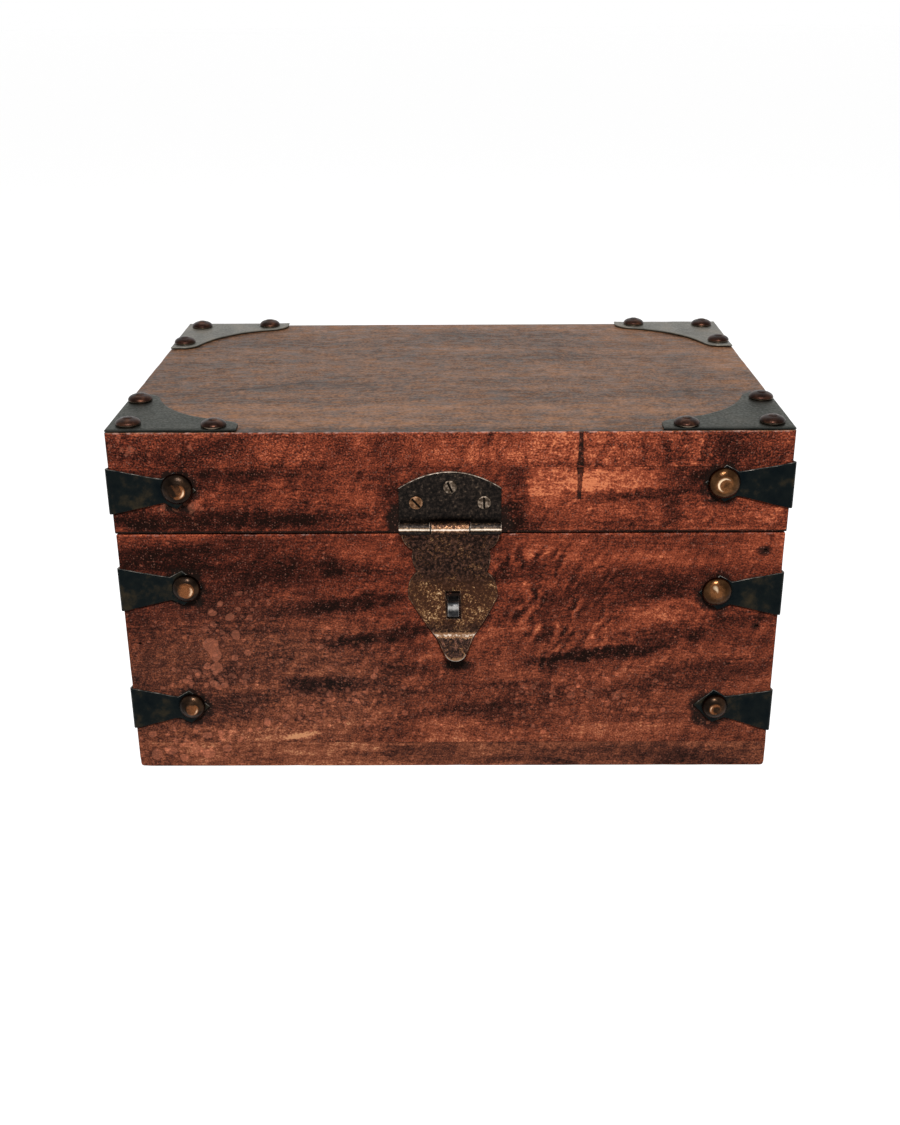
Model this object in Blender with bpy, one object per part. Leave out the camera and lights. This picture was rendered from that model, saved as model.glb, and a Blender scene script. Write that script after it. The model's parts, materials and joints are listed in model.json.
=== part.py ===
# Hardwood chest bound with iron: a base, a hinged lid, corner straps, dome nails and a hasp.
# Metres, +Z up, the front towards -Y, the origin at the middle of the underside.

import bmesh
import bpy
from collections import namedtuple
from math import cos, pi, radians, sin, sqrt, tan
from mathutils import Vector

# Clearances
SEAT_GAP = 0.0003           # between pieces that bear on each other
RUNNING_GAP = 0.0004        # between pieces that turn past each other
SEAM_GAP = 0.0005           # between the base and the closed lid

# Wooden carcass
CHEST_WIDTH = 0.300
CHEST_DEPTH = 0.206
BASE_HEIGHT = 0.1195
BASE_SIDE_INSET = 0.0007    # the base stands in from the lid at the left and right
WALL_THICK = 0.013
BOTTOM_THICK = 0.013
LID_HEIGHT = 0.047
LID_WALL_THICK = 0.013
LID_TOP_THICK = 0.016
EDGE_ROUND = 0.0007
EDGE_STEPS = 2

# Dome-headed nails
STRAP_NAIL_RADIUS = 0.0062
STRAP_NAIL_HEIGHT = 0.0042
PLATE_NAIL_RADIUS = 0.0056
PLATE_NAIL_HEIGHT = 0.0034
NAIL_TIP_RADIUS = 0.0028    # flat worn on the crown of the dome
NAIL_SHANK_RADIUS = 0.0012
NAIL_SIDES = 16
DOME_STEPS = 3

# Slotted screws
SCREW_HEAD_RADIUS = 0.0031
SCREW_CROWN_RADIUS = 0.0024
SCREW_HEAD_HEIGHT = 0.0011
SCREW_RIM_HEIGHT = 0.0005
SCREW_SHANK_RADIUS = 0.0013
SCREW_SLOT_WIDTH = 0.0009
SCREW_SLOT_DEPTH = 0.0006

# Nails and screws in the wood
SHANK_POINT = 0.0025        # length of the tapered point
SHANK_COVER = 0.0040        # wood left past the point
BORE_SIDES = 8

# Corner straps, one on the lid and two on the base at each corner
STRAP_THICK = 0.0008
STRAP_HALF_CORNER = 0.0107  # half height at the corner
STRAP_HALF_NECK = 0.0055    # half height just before the diamond
STRAP_HALF_DIAMOND = 0.0086
LID_STRAP_REACH = 0.0298    # from the corner to the nail
UPPER_STRAP_REACH = 0.0284
LOWER_STRAP_REACH = 0.0272
STRAP_NECK_BACK = 0.0055    # from the nail back to the neck
STRAP_TIP_AHEAD = 0.0090    # from the nail on to the point of the diamond
LEFT_LID_STRAP_RISE = 0.0202    # strap centre above the seam
RIGHT_LID_STRAP_RISE = 0.0221
LEFT_UPPER_STRAP_DROP = 0.0265  # strap centre below the top of the base
RIGHT_UPPER_STRAP_DROP = 0.0293
LEFT_LOWER_STRAP_RISE = 0.0322  # strap centre above the floor
RIGHT_LOWER_STRAP_RISE = 0.0303

# Corner plates on the lid top
PLATE_THICK = 0.0008
PLATE_INSET = 0.0004        # from the edges of the lid
PLATE_ARM = 0.0570          # length of each arm
PLATE_END = 0.0075          # width of an arm's square end
PLATE_LOBE = 0.0065         # size of the rounded lobe behind that end
PLATE_LOBE_FALL = 0.0016    # how far the lobe's curve stays inside its square corner
PLATE_WAIST = 0.0275        # how far the hollow edge stands from both outer edges
PLATE_NAIL_IN = 0.0058      # from the plate's outer edges to the nails
PLATE_CORNER_NAIL_IN = 0.0086
PLATE_NAIL_BACK = 0.0105    # from an arm's end to its nail
CURVE_STEPS = 8

# Hasp on the front
HASP_HALF_WIDTH = 0.0227
HASP_THICK = 0.0012
HASP_BARREL_RADIUS = 0.0029
HASP_PIN_RADIUS = 0.0012
HASP_MIDDLE_KNUCKLE = 0.0170
HASP_AXIS_RISE = 0.0036     # barrel axis above the lid's lower edge
HASP_LEAF_SHOULDER = 0.0181
HASP_LEAF_CROWN = 0.0257
HASP_SCREW_ACROSS = 0.0150
HASP_SCREW_RISE = 0.0114
HASP_TOP_SCREW_RISE = 0.0187
HASP_SCREW_TURNS = {"left": 48.0, "top": 66.0, "right": 88.0}    # slots, clockwise from level, degrees
FLAP_HIP_HALF = 0.0172      # half widths down the flap
FLAP_WAIST_HALF = 0.0158
FLAP_SHOULDER_HALF = 0.0203
FLAP_BEND_HALF = 0.0088
FLAP_HIP_DROP = 0.0112      # drops below the barrel axis
FLAP_WAIST_DROP = 0.0220
FLAP_SHOULDER_DROP = 0.0345
FLAP_BEND_DROP = 0.0540
FLAP_TIP_LENGTH = 0.0120    # from the bend line to the end
FLAP_TIP_HALF = 0.0050      # where the rounding starts
FLAP_TIP_ROUND = 0.0040     # how far back the end is rounded
FLAP_END_HALF = 0.0040      # breadth of the blunt end, from its middle
FLAP_TIP_ANGLE = 25.0       # the tip stands out from the flap, degrees
FLAP_LEAN = 0.035           # sideways drift of the flap for each unit of drop
SLOT_SIDE_GAP = 0.0008      # between the staple and the slot round it
SLOT_END_GAP = 0.0030
STAPLE_DROP = 0.0382        # staple centre below the barrel axis
STAPLE_WIDTH = 0.0050
STAPLE_HEIGHT = 0.0076
STAPLE_THICK = 0.0012
STAPLE_REACH = 0.0080       # from the wood to the front of the loop
STAPLE_ROUND = 0.0022
STAPLE_COVER = 0.0030       # wood left past the legs

# Butt hinges on the back
HINGE_MARGIN = 0.0120       # from the strap points to the hinge leaves
HINGE_HALF_WIDTH = 0.0200
HINGE_LEAF_HEIGHT = 0.0240
HINGE_CORNER = 0.0040
HINGE_THICK = 0.0012
HINGE_BARREL_RADIUS = 0.0028
HINGE_PIN_RADIUS = 0.0013
HINGE_MIDDLE_KNUCKLE = 0.0140
HINGE_SCREW_ACROSS = 0.0120
HINGE_SCREW_RISE = 0.0140

# Knuckles and joined forms
BARREL_SIDES = 20
KNUCKLE_PROUD = 0.0002      # knuckles stand past the edges of their sheet
FUSE_DEPTH = 0.0003         # overlap where two forms become one piece
CUT_PAST = 0.0100           # cutters run on past what they cut
SHARP_ANGLE = 35.0          # edges that turn more than this stay crisp, degrees
MERGE = 0.000001

# Sizes that follow from those above
BASE_WIDTH = CHEST_WIDTH - 2 * BASE_SIDE_INSET
HALF_DEPTH = CHEST_DEPTH / 2
LID_FOOT = BASE_HEIGHT + SEAM_GAP
LID_TOP = LID_FOOT + LID_HEIGHT
STRAP_TIP_REACH = LID_STRAP_REACH + STRAP_TIP_AHEAD
PLATE_NAIL_ALONG = PLATE_ARM - PLATE_NAIL_BACK
HASP_AXIS_OUT = HASP_BARREL_RADIUS + 2 * SEAT_GAP
HASP_AXIS = (0.0, -HALF_DEPTH - HASP_AXIS_OUT, LID_FOOT + HASP_AXIS_RISE)
FLAP_TOP_DROP = HASP_BARREL_RADIUS + RUNNING_GAP
STAPLE_SPOT = (FLAP_LEAN * (STAPLE_DROP - FLAP_TOP_DROP), -HALF_DEPTH, HASP_AXIS[2] - STAPLE_DROP)
HINGE_AXIS_OUT = HINGE_BARREL_RADIUS + 2 * SEAT_GAP
HINGE_AXIS = (0.0, HALF_DEPTH + HINGE_AXIS_OUT, BASE_HEIGHT + SEAM_GAP / 2)
HINGE_ACROSS = BASE_WIDTH / 2 - STRAP_TIP_REACH - HINGE_MARGIN - HINGE_HALF_WIDTH

SIDES = {"left": -1, "right": 1}
ENDS = {"front": -1, "back": 1}
CORNER_TURNS = {"front_right": 0, "back_right": 90, "back_left": 180, "front_left": 270}
FACE_FRONT = (radians(90), 0.0, 0.0)
FACE_BACK = (radians(90), 0.0, radians(180))

# Head sizes of the nails, and the two kinds of hinge barrel
NAIL_HEADS = {"strap_nail": (STRAP_NAIL_RADIUS, STRAP_NAIL_HEIGHT),
              "plate_nail": (PLATE_NAIL_RADIUS, PLATE_NAIL_HEIGHT)}
Barrel = namedtuple("Barrel", "half_width thick radius pin middle")
HASP_BARREL = Barrel(HASP_HALF_WIDTH, HASP_THICK, HASP_BARREL_RADIUS, HASP_PIN_RADIUS, HASP_MIDDLE_KNUCKLE)
HINGE_BARREL = Barrel(HINGE_HALF_WIDTH, HINGE_THICK, HINGE_BARREL_RADIUS, HINGE_PIN_RADIUS,
                      HINGE_MIDDLE_KNUCKLE)


# Scene helpers

def clear_scene():
    for item in list(bpy.data.objects):
        bpy.data.objects.remove(item)


def make_material(name, colour, roughness, metallic):
    material = bpy.data.materials.new(name)
    material.use_nodes = True
    shader = material.node_tree.nodes["Principled BSDF"]
    shader.inputs["Base Color"].default_value = (*colour, 1.0)
    shader.inputs["Roughness"].default_value = roughness
    shader.inputs["Metallic"].default_value = metallic


def world_origin(item):
    if item.parent:
        return item.location + world_origin(item.parent)
    return item.location.copy()


def place(item, location, parent, rotation=(0.0, 0.0, 0.0)):
    # The location is given in the chest's frame, whatever the parent's place.
    holder = bpy.data.objects[parent]
    item.parent = holder
    item.location = Vector(location) - world_origin(holder)
    item.rotation_euler = rotation


def add_empty(name, location, parent=None):
    empty = bpy.data.objects.new(name, None)
    bpy.context.collection.objects.link(empty)
    empty.location = location
    if parent:
        place(empty, location, parent)


def add_object(name, mesh, material=None):
    # Without a material the object only shapes others, and isn't a piece of the chest.
    data = bpy.data.meshes.new(name)
    bmesh.ops.recalc_face_normals(mesh, faces=mesh.faces[:])
    mesh.to_mesh(data)
    mesh.free()
    item = bpy.data.objects.new(name, data)
    bpy.context.collection.objects.link(item)
    if material:
        data.materials.append(bpy.data.materials[material])
    else:
        item.hide_render = True
        item.display_type = "WIRE"
    return item


def shade_round(item):
    item.data.shade_smooth()
    item.data.set_sharp_from_angle(angle=radians(SHARP_ANGLE))


def combine(item, tool, operation):
    modifier = item.modifiers.new(tool.name, "BOOLEAN")
    modifier.operation = operation
    modifier.object = tool
    modifier.solver = "EXACT"


def facing(normal):
    return Vector((0, 0, 1)).rotation_difference(Vector(normal)).to_euler()


# Mesh helpers

def block_mesh(size):
    mesh = bmesh.new()
    bmesh.ops.create_cube(mesh, size=1.0)
    bmesh.ops.scale(mesh, vec=size, verts=mesh.verts)
    return mesh


def turned_mesh(profile, sides):
    # The profile runs from the axis, round the outside, back to the axis.
    mesh = bmesh.new()
    points = [mesh.verts.new((radius, 0.0, height)) for radius, height in profile]
    edges = [mesh.edges.new(pair) for pair in zip(points, points[1:])]
    bmesh.ops.spin(mesh, geom=points + edges, cent=(0, 0, 0), axis=(0, 0, 1), angle=2 * pi, steps=sides,
                   use_merge=True)
    bmesh.ops.remove_doubles(mesh, verts=mesh.verts, dist=MERGE)
    return mesh


def rod_mesh(radius, length, sides):
    # A cylinder along X, centred on the origin.
    half = length / 2
    mesh = turned_mesh([(0.0, half), (radius, half), (radius, -half), (0.0, -half)], sides)
    turn = Vector((0, 0, 1)).rotation_difference(Vector((1, 0, 0))).to_matrix()
    bmesh.ops.rotate(mesh, cent=(0, 0, 0), matrix=turn, verts=mesh.verts)
    return mesh


def sheet_mesh(outlines, thick, shape):
    # Flat outlines (u, v) thickened by depth, then brought to place by shape(u, v, depth).
    mesh = bmesh.new()
    corners = {}
    for outline in outlines:
        for point in outline:
            if point not in corners:
                corners[point] = mesh.verts.new((*point, 0.0))
        mesh.faces.new([corners[point] for point in outline])
    grown = bmesh.ops.extrude_face_region(mesh, geom=mesh.faces[:])
    for part in grown["geom"]:
        if isinstance(part, bmesh.types.BMVert):
            part.co.z = thick
    for vertex in mesh.verts:
        vertex.co = shape(*vertex.co)
    return mesh


def curve(start, control, end, steps):
    # Points of a quadratic curve, the start left out.
    points = []
    for step in range(1, steps + 1):
        ahead = step / steps
        back = 1 - ahead
        points.append(tuple(back * back * start[i] + 2 * back * ahead * control[i] + ahead * ahead * end[i]
                            for i in (0, 1)))
    return points


def mirrored(points):
    # The same points across the centre line, in reverse order.
    return [(-across, along) for across, along in reversed(points)]


# Boards

def add_board(name, low, high, parent):
    low = Vector(low)
    high = Vector(high)
    board = add_object(name, block_mesh(high - low), "reddish_hardwood")
    place(board, (low + high) / 2, parent)
    bevel = board.modifiers.new("soft_edges", "BEVEL")
    bevel.width = EDGE_ROUND
    bevel.segments = EDGE_STEPS


def add_walls(names, width, wall, foot, top, parent):
    # Front and back run the full width, the left and right fit between them.
    half = width / 2
    inner = HALF_DEPTH - wall
    between = inner - SEAT_GAP
    spans = {
        "front": ((-half, -HALF_DEPTH), (half, -inner)),
        "back": ((-half, inner), (half, HALF_DEPTH)),
        "left": ((-half, -between), (-half + wall, between)),
        "right": ((half - wall, -between), (half, between)),
    }
    for side, (low, high) in spans.items():
        add_board(names.format(side), (*low, foot), (*high, top), parent)


def build_base():
    half = BASE_WIDTH / 2
    add_walls("base_{}_board", BASE_WIDTH, WALL_THICK, BOTTOM_THICK + SEAT_GAP, BASE_HEIGHT, "base_frame")
    add_board("base_bottom_board", (-half, -HALF_DEPTH, 0.0), (half, HALF_DEPTH, BOTTOM_THICK), "base_frame")


def build_lid():
    half = CHEST_WIDTH / 2
    under = LID_TOP - LID_TOP_THICK
    add_walls("lid_{}_rail", CHEST_WIDTH, LID_WALL_THICK, LID_FOOT, under - SEAT_GAP, "lid_axis")
    add_board("lid_top_board", (-half, -HALF_DEPTH, under), (half, HALF_DEPTH, LID_TOP), "lid_axis")


# Nails and screws. Each stands with the underside of its head on the origin and points down -Z.

def shank_profile(radius, length):
    return [(radius, 0.0), (radius, SHANK_POINT - length), (0.0, -length)]


def nail_mesh(radius, height, length):
    lean = sqrt(1 - (NAIL_TIP_RADIUS / radius) ** 2)
    dome = [(0.0, height)]
    for step in range(DOME_STEPS, -1, -1):
        rise = step / DOME_STEPS
        dome.append((radius * sqrt(1 - (lean * rise) ** 2), height * rise))
    return turned_mesh(dome + shank_profile(NAIL_SHANK_RADIUS, length), NAIL_SIDES)


def screw_mesh(length):
    head = [(0.0, SCREW_HEAD_HEIGHT), (SCREW_CROWN_RADIUS, SCREW_HEAD_HEIGHT),
            (SCREW_HEAD_RADIUS, SCREW_RIM_HEIGHT), (SCREW_HEAD_RADIUS, 0.0)]
    return turned_mesh(head + shank_profile(SCREW_SHANK_RADIUS, length), NAIL_SIDES)


def add_bore(name, seat, normal, radius, length, targets, parent):
    # A clear hole for a shank, cut in everything that the shank passes through.
    over = SEAT_GAP + FUSE_DEPTH
    under = -length - SEAT_GAP
    clear = radius + SEAT_GAP
    profile = [(0.0, over), (clear, over), (clear, under), (0.0, under)]
    bore = add_object(name, turned_mesh(profile, BORE_SIDES))
    place(bore, seat, parent, facing(normal))
    for target in targets:
        combine(bpy.data.objects[target], bore, "DIFFERENCE")


def add_fastener(name, kind, spot, normal, sheet, thick, bite, boards, parent, material, fused=False):
    # A nail or screw through a sheet of iron into the wood. A fused one becomes part of its sheet.
    rise = SEAT_GAP + thick + (-FUSE_DEPTH if fused else SEAT_GAP)
    seat = Vector(spot) + rise * Vector(normal)
    length = rise + bite
    mesh = screw_mesh(length) if kind == "screw" else nail_mesh(*NAIL_HEADS[kind], length)
    fastener = add_object(name, mesh, None if fused else material)
    place(fastener, seat, parent, facing(normal))
    shade_round(fastener)
    if fused:
        combine(bpy.data.objects[sheet], fastener, "UNION")
    shank = SCREW_SHANK_RADIUS if kind == "screw" else NAIL_SHANK_RADIUS
    add_bore(f"{name}_bore", seat, normal, shank, length, boards if fused else boards + [sheet], parent)
    return fastener


# Corner straps

def wrap_corner(u, v, depth):
    out = SEAT_GAP + depth
    if u < 0:
        return (u, -out, v)
    if u > 0:
        return (out, u, v)
    return (out, -out, v)


def strap_mesh(reach):
    neck = reach - STRAP_NECK_BACK
    upper = [(0.0, STRAP_HALF_CORNER), (neck, STRAP_HALF_NECK), (reach, STRAP_HALF_DIAMOND)]
    lower = [(along, -half) for along, half in reversed(upper)]
    leaf = upper + [(reach + STRAP_TIP_AHEAD, 0.0)] + lower
    return sheet_mesh([leaf, mirrored(leaf)], STRAP_THICK, wrap_corner)


def add_strap(level, corner, width, height, reach, bite, boards, parent):
    # The nail on the front is a piece of its own, those on the other faces are part of the strap.
    end, side = corner.split("_")
    strap = f"{level}_strap_{corner}"
    edge = Vector((SIDES[side] * width / 2, ENDS[end] * HALF_DEPTH, height))
    place(add_object(strap, strap_mesh(reach), "blackened_iron"), edge, parent,
          (0.0, 0.0, radians(CORNER_TURNS[corner])))
    leaves = {
        end: (Vector((-SIDES[side] * reach, 0.0, 0.0)), (0, ENDS[end], 0)),
        side: (Vector((0.0, -ENDS[end] * reach, 0.0)), (SIDES[side], 0, 0)),
    }
    for face, (offset, normal) in leaves.items():
        fused = face != "front"
        name = f"{level}_strap_nail_{corner}_{face}" if fused else f"{level}_strap_nail_{side}"
        add_fastener(name, "strap_nail", edge + offset, normal, strap, STRAP_THICK, bite,
                     [board.format(face) for board in boards], parent, "copper_brown_nail", fused)


def build_straps():
    lid_levels = {"left": LID_FOOT + LEFT_LID_STRAP_RISE, "right": LID_FOOT + RIGHT_LID_STRAP_RISE}
    upper_levels = {"left": BASE_HEIGHT - LEFT_UPPER_STRAP_DROP,
                    "right": BASE_HEIGHT - RIGHT_UPPER_STRAP_DROP}
    lower_levels = {"left": LEFT_LOWER_STRAP_RISE, "right": RIGHT_LOWER_STRAP_RISE}
    for corner in CORNER_TURNS:
        side = corner.split("_")[1]
        add_strap("lid", corner, CHEST_WIDTH, lid_levels[side], LID_STRAP_REACH,
                  LID_WALL_THICK - SHANK_COVER, ["lid_{}_rail", "lid_top_board"], "lid_axis")
        add_strap("upper", corner, BASE_WIDTH, upper_levels[side], UPPER_STRAP_REACH,
                  WALL_THICK - SHANK_COVER, ["base_{}_board"], "base_frame")
        add_strap("lower", corner, BASE_WIDTH, lower_levels[side], LOWER_STRAP_REACH,
                  WALL_THICK - SHANK_COVER, ["base_{}_board"], "base_frame")


# Corner plates on the lid

def plate_mesh():
    # Drawn for the front right corner: one arm runs along -X, the other along +Y.
    square_end = (PLATE_ARM, PLATE_END)
    swell = (PLATE_ARM - PLATE_LOBE_FALL, PLATE_END + PLATE_LOBE - PLATE_LOBE_FALL)
    lobe = (PLATE_ARM - PLATE_LOBE, PLATE_END + PLATE_LOBE)
    hollow = 2 * PLATE_WAIST - (lobe[0] + lobe[1]) / 2
    edge = [(0.0, 0.0), (PLATE_ARM, 0.0), square_end]
    edge += curve(square_end, swell, lobe, CURVE_STEPS // 2)
    edge += curve(lobe, (hollow, hollow), lobe[::-1], CURVE_STEPS)
    edge += curve(lobe[::-1], swell[::-1], square_end[::-1], CURVE_STEPS // 2)
    edge += [(0.0, PLATE_ARM)]
    outline = [(-along, across) for along, across in edge]
    return sheet_mesh([outline], PLATE_THICK, lambda u, v, depth: (u, v, SEAT_GAP + depth))


def build_plates():
    spots = {"corner": (PLATE_CORNER_NAIL_IN, PLATE_CORNER_NAIL_IN),
             "width_arm": (PLATE_NAIL_ALONG, PLATE_NAIL_IN),
             "depth_arm": (PLATE_NAIL_IN, PLATE_NAIL_ALONG)}
    for corner, turn in CORNER_TURNS.items():
        end, side = corner.split("_")
        plate = f"lid_plate_{corner}"
        start = Vector((SIDES[side] * (CHEST_WIDTH / 2 - PLATE_INSET), ENDS[end] * (HALF_DEPTH - PLATE_INSET),
                        LID_TOP))
        place(add_object(plate, plate_mesh(), "blackened_iron"), start, "lid_axis", (0.0, 0.0, radians(turn)))
        for arm, (inward, back) in spots.items():
            spot = start - Vector((SIDES[side] * inward, ENDS[end] * back, 0.0))
            add_fastener(f"lid_plate_nail_{corner}_{arm}", "plate_nail", spot, (0, 0, 1), plate, PLATE_THICK,
                         LID_TOP_THICK - SHANK_COVER, ["lid_top_board"], "lid_axis", "copper_brown_nail")


# Hinged sheets: flat iron with knuckles rolled round a pin along X

def edge_at_barrel(barrel, outer):
    # Half of a sheet's edge at its barrel, from the centre line outwards.
    clear = barrel.radius + RUNNING_GAP
    if outer:
        notch = barrel.middle / 2 + RUNNING_GAP + KNUCKLE_PROUD
        return [(notch, clear), (notch, 0.0), (barrel.half_width, 0.0)]
    tab = barrel.middle / 2 - KNUCKLE_PROUD
    return [(tab, 0.0), (tab, clear), (barrel.half_width, clear)]


def against_wood(barrel):
    return lambda u, v, depth: (u, v, depth - barrel.radius - SEAT_GAP)


def add_hinged_sheet(name, barrel, outer, outlines, shape, axis, turn, parent):
    # An outer sheet carries the two end knuckles, the other one carries the middle knuckle.
    sheet = add_object(name, sheet_mesh(outlines, barrel.thick, shape), "blackened_iron")
    place(sheet, axis, parent, turn)
    shade_round(sheet)
    inner_end = barrel.middle / 2 + RUNNING_GAP
    outer_end = barrel.half_width + KNUCKLE_PROUD
    spans = [(-barrel.middle / 2, barrel.middle / 2)]
    if outer:
        spans = [(-outer_end, -inner_end), (inner_end, outer_end)]
    for number, (start, end) in enumerate(spans):
        knuckle = add_object(f"{name}_knuckle_{number}", rod_mesh(barrel.radius, end - start, BARREL_SIDES))
        place(knuckle, Vector(axis) + Vector(((start + end) / 2, 0.0, 0.0)), parent)
        shade_round(knuckle)
        combine(sheet, knuckle, "UNION")
    hole = rod_mesh(barrel.pin + RUNNING_GAP, 2 * (outer_end + CUT_PAST), BARREL_SIDES)
    bore = add_object(f"{name}_bore", hole)
    place(bore, axis, parent)
    combine(sheet, bore, "DIFFERENCE")
    return sheet


def add_pin(name, barrel, axis, parent):
    length = 2 * (barrel.half_width + KNUCKLE_PROUD)
    pin = add_object(name, rod_mesh(barrel.pin, length, BARREL_SIDES), "worn_steel")
    place(pin, axis, parent)
    shade_round(pin)


# Hasp

def build_hasp_leaf():
    crown_control = 2 * HASP_LEAF_CROWN - HASP_LEAF_SHOULDER
    right = edge_at_barrel(HASP_BARREL, True) + [(HASP_HALF_WIDTH, HASP_LEAF_SHOULDER)]
    left = mirrored(right)
    crown = curve(right[-1], (0.0, crown_control), left[0], CURVE_STEPS)[:-1]
    add_hinged_sheet("hasp_leaf", HASP_BARREL, True, [right + crown + left], against_wood(HASP_BARREL),
                     HASP_AXIS, FACE_FRONT, "lid_axis")


def bend_flap(u, v, depth):
    # The flap leans a little sideways, and all past the bend line stands out from the wood.
    drop = -v
    angle = radians(FLAP_TIP_ANGLE)
    inside = -HASP_BARREL_RADIUS - SEAT_GAP
    across = u + FLAP_LEAN * max(0.0, drop - FLAP_TOP_DROP)
    if drop < FLAP_BEND_DROP - MERGE:
        return (across, v, inside + depth)
    run = max(drop - FLAP_BEND_DROP, depth * tan(angle / 2))
    return (across, -FLAP_BEND_DROP - run * cos(angle) + depth * sin(angle),
            inside + run * sin(angle) + depth * cos(angle))


def build_hasp_flap():
    side = edge_at_barrel(HASP_BARREL, False)
    hip = (FLAP_HIP_HALF, FLAP_HIP_DROP)
    waist = (FLAP_WAIST_HALF, FLAP_WAIST_DROP)
    shoulder = (FLAP_SHOULDER_HALF, FLAP_SHOULDER_DROP)
    bend = (FLAP_BEND_HALF, FLAP_BEND_DROP)
    end = FLAP_BEND_DROP + FLAP_TIP_LENGTH
    round_start = (FLAP_TIP_HALF, end - FLAP_TIP_ROUND)
    steps = CURVE_STEPS // 2
    above_hip = (FLAP_HIP_HALF, (FLAP_TOP_DROP + FLAP_HIP_DROP) / 2)
    above_waist = (2 * FLAP_HIP_HALF - FLAP_WAIST_HALF, (FLAP_HIP_DROP + FLAP_WAIST_DROP) / 2)
    above_shoulder = (FLAP_SHOULDER_HALF, (2 * FLAP_WAIST_DROP + FLAP_SHOULDER_DROP) / 3)
    side += curve(side[-1], above_hip, hip, steps)
    side += curve(hip, above_waist, waist, steps)
    side += curve(waist, above_shoulder, shoulder, steps)
    plate = [(across, -drop) for across, drop in side + [bend]]
    tip = [bend, round_start] + curve(round_start, (FLAP_END_HALF, end), (0.0, end), steps)
    point = [(across, -drop) for across, drop in tip]
    flap = add_hinged_sheet("hasp_flap", HASP_BARREL, False,
                            [plate + mirrored(plate), point + mirrored(point[:-1])], bend_flap,
                            HASP_AXIS, FACE_FRONT, "hasp_axis")
    opening = (STAPLE_WIDTH + 2 * SLOT_SIDE_GAP, 2 * CUT_PAST, STAPLE_HEIGHT + 2 * SLOT_END_GAP)
    slot = add_object("hasp_flap_slot", block_mesh(opening))
    place(slot, STAPLE_SPOT, "hasp_axis")
    combine(flap, slot, "DIFFERENCE")


def build_staple():
    # A strip bent into a loop, its two legs let into the front board one above the other.
    root = STAPLE_COVER - WALL_THICK
    steps = CURVE_STEPS // 2
    rings = []
    for inset in (0.0, STAPLE_THICK):
        high = STAPLE_HEIGHT / 2 - inset
        out = STAPLE_REACH - inset
        bend = STAPLE_ROUND - inset
        upper = [(root, high), (out - bend, high)]
        upper += curve(upper[-1], (out, high), (out, high - bend), steps)
        rings.append(upper + [(reach, -rise) for reach, rise in reversed(upper)])
    half = STAPLE_WIDTH / 2
    loop = rings[0] + rings[1][::-1]
    strip = sheet_mesh([loop], STAPLE_WIDTH, lambda u, v, depth: (depth - half, -u, v))
    staple = add_object("hasp_staple", strip, "blackened_iron")
    place(staple, STAPLE_SPOT, "base_frame")
    shade_round(staple)
    size = (STAPLE_WIDTH + 2 * SEAT_GAP, 2 * (SEAT_GAP - root), STAPLE_THICK + 2 * SEAT_GAP)
    for leg, sign in (("upper", 1), ("lower", -1)):
        rise = sign * (STAPLE_HEIGHT - STAPLE_THICK) / 2
        mortise = add_object(f"hasp_staple_{leg}_mortise", block_mesh(size))
        place(mortise, Vector(STAPLE_SPOT) + Vector((0.0, 0.0, rise)), "base_frame")
        combine(bpy.data.objects["base_front_board"], mortise, "DIFFERENCE")


def build_hasp():
    build_hasp_leaf()
    build_hasp_flap()
    add_pin("hasp_pin", HASP_BARREL, HASP_AXIS, "lid_axis")
    build_staple()
    spots = {"left": (-HASP_SCREW_ACROSS, HASP_SCREW_RISE), "top": (0.0, HASP_TOP_SCREW_RISE),
             "right": (HASP_SCREW_ACROSS, HASP_SCREW_RISE)}
    head_out = 2 * SEAT_GAP + HASP_THICK + SCREW_HEAD_HEIGHT
    slot_size = (2 * (SCREW_HEAD_RADIUS + CUT_PAST), 2 * SCREW_SLOT_DEPTH, SCREW_SLOT_WIDTH)
    for which, (across, rise) in spots.items():
        spot = Vector((across, -HALF_DEPTH, HASP_AXIS[2] + rise))
        screw = add_fastener(f"hasp_screw_{which}", "screw", spot, (0, -1, 0), "hasp_leaf", HASP_THICK,
                             LID_WALL_THICK - SHANK_COVER, ["lid_front_rail", "lid_top_board"], "lid_axis",
                             "worn_steel")
        slot = add_object(f"hasp_screw_{which}_slot", block_mesh(slot_size))
        place(slot, spot - Vector((0.0, head_out, 0.0)), "lid_axis",
              (0.0, radians(HASP_SCREW_TURNS[which]), 0.0))
        combine(screw, slot, "DIFFERENCE")


# Butt hinges

def hinge_outline(outer, sign):
    right = edge_at_barrel(HINGE_BARREL, outer)
    right += [(HINGE_HALF_WIDTH, HINGE_LEAF_HEIGHT - HINGE_CORNER)]
    right += [(HINGE_HALF_WIDTH - HINGE_CORNER, HINGE_LEAF_HEIGHT)]
    return [(across, sign * along) for across, along in right + mirrored(right)]


def build_hinges():
    leaves = {
        "base": (True, -1, ["base_back_board"], WALL_THICK, "base_frame"),
        "lid": (False, 1, ["lid_back_rail", "lid_top_board"], LID_WALL_THICK, "lid_axis"),
    }
    for side, across in SIDES.items():
        axis = Vector(HINGE_AXIS) + Vector((across * HINGE_ACROSS, 0.0, 0.0))
        for body, (outer, sign, boards, wall, parent) in leaves.items():
            leaf = f"hinge_{side}_{body}_leaf"
            add_hinged_sheet(leaf, HINGE_BARREL, outer, [hinge_outline(outer, sign)],
                             against_wood(HINGE_BARREL), axis, FACE_BACK, parent)
            for which, way in SIDES.items():
                screw = f"hinge_{side}_{body}_screw_{which}"
                spot = Vector((axis.x + way * HINGE_SCREW_ACROSS, HALF_DEPTH,
                               axis.z + sign * HINGE_SCREW_RISE))
                add_fastener(screw, "screw", spot, (0, 1, 0), leaf, HINGE_THICK, wall - SHANK_COVER, boards,
                             parent, "worn_steel", True)
        add_pin(f"hinge_{side}_pin", HINGE_BARREL, axis, "base_frame")


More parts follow.
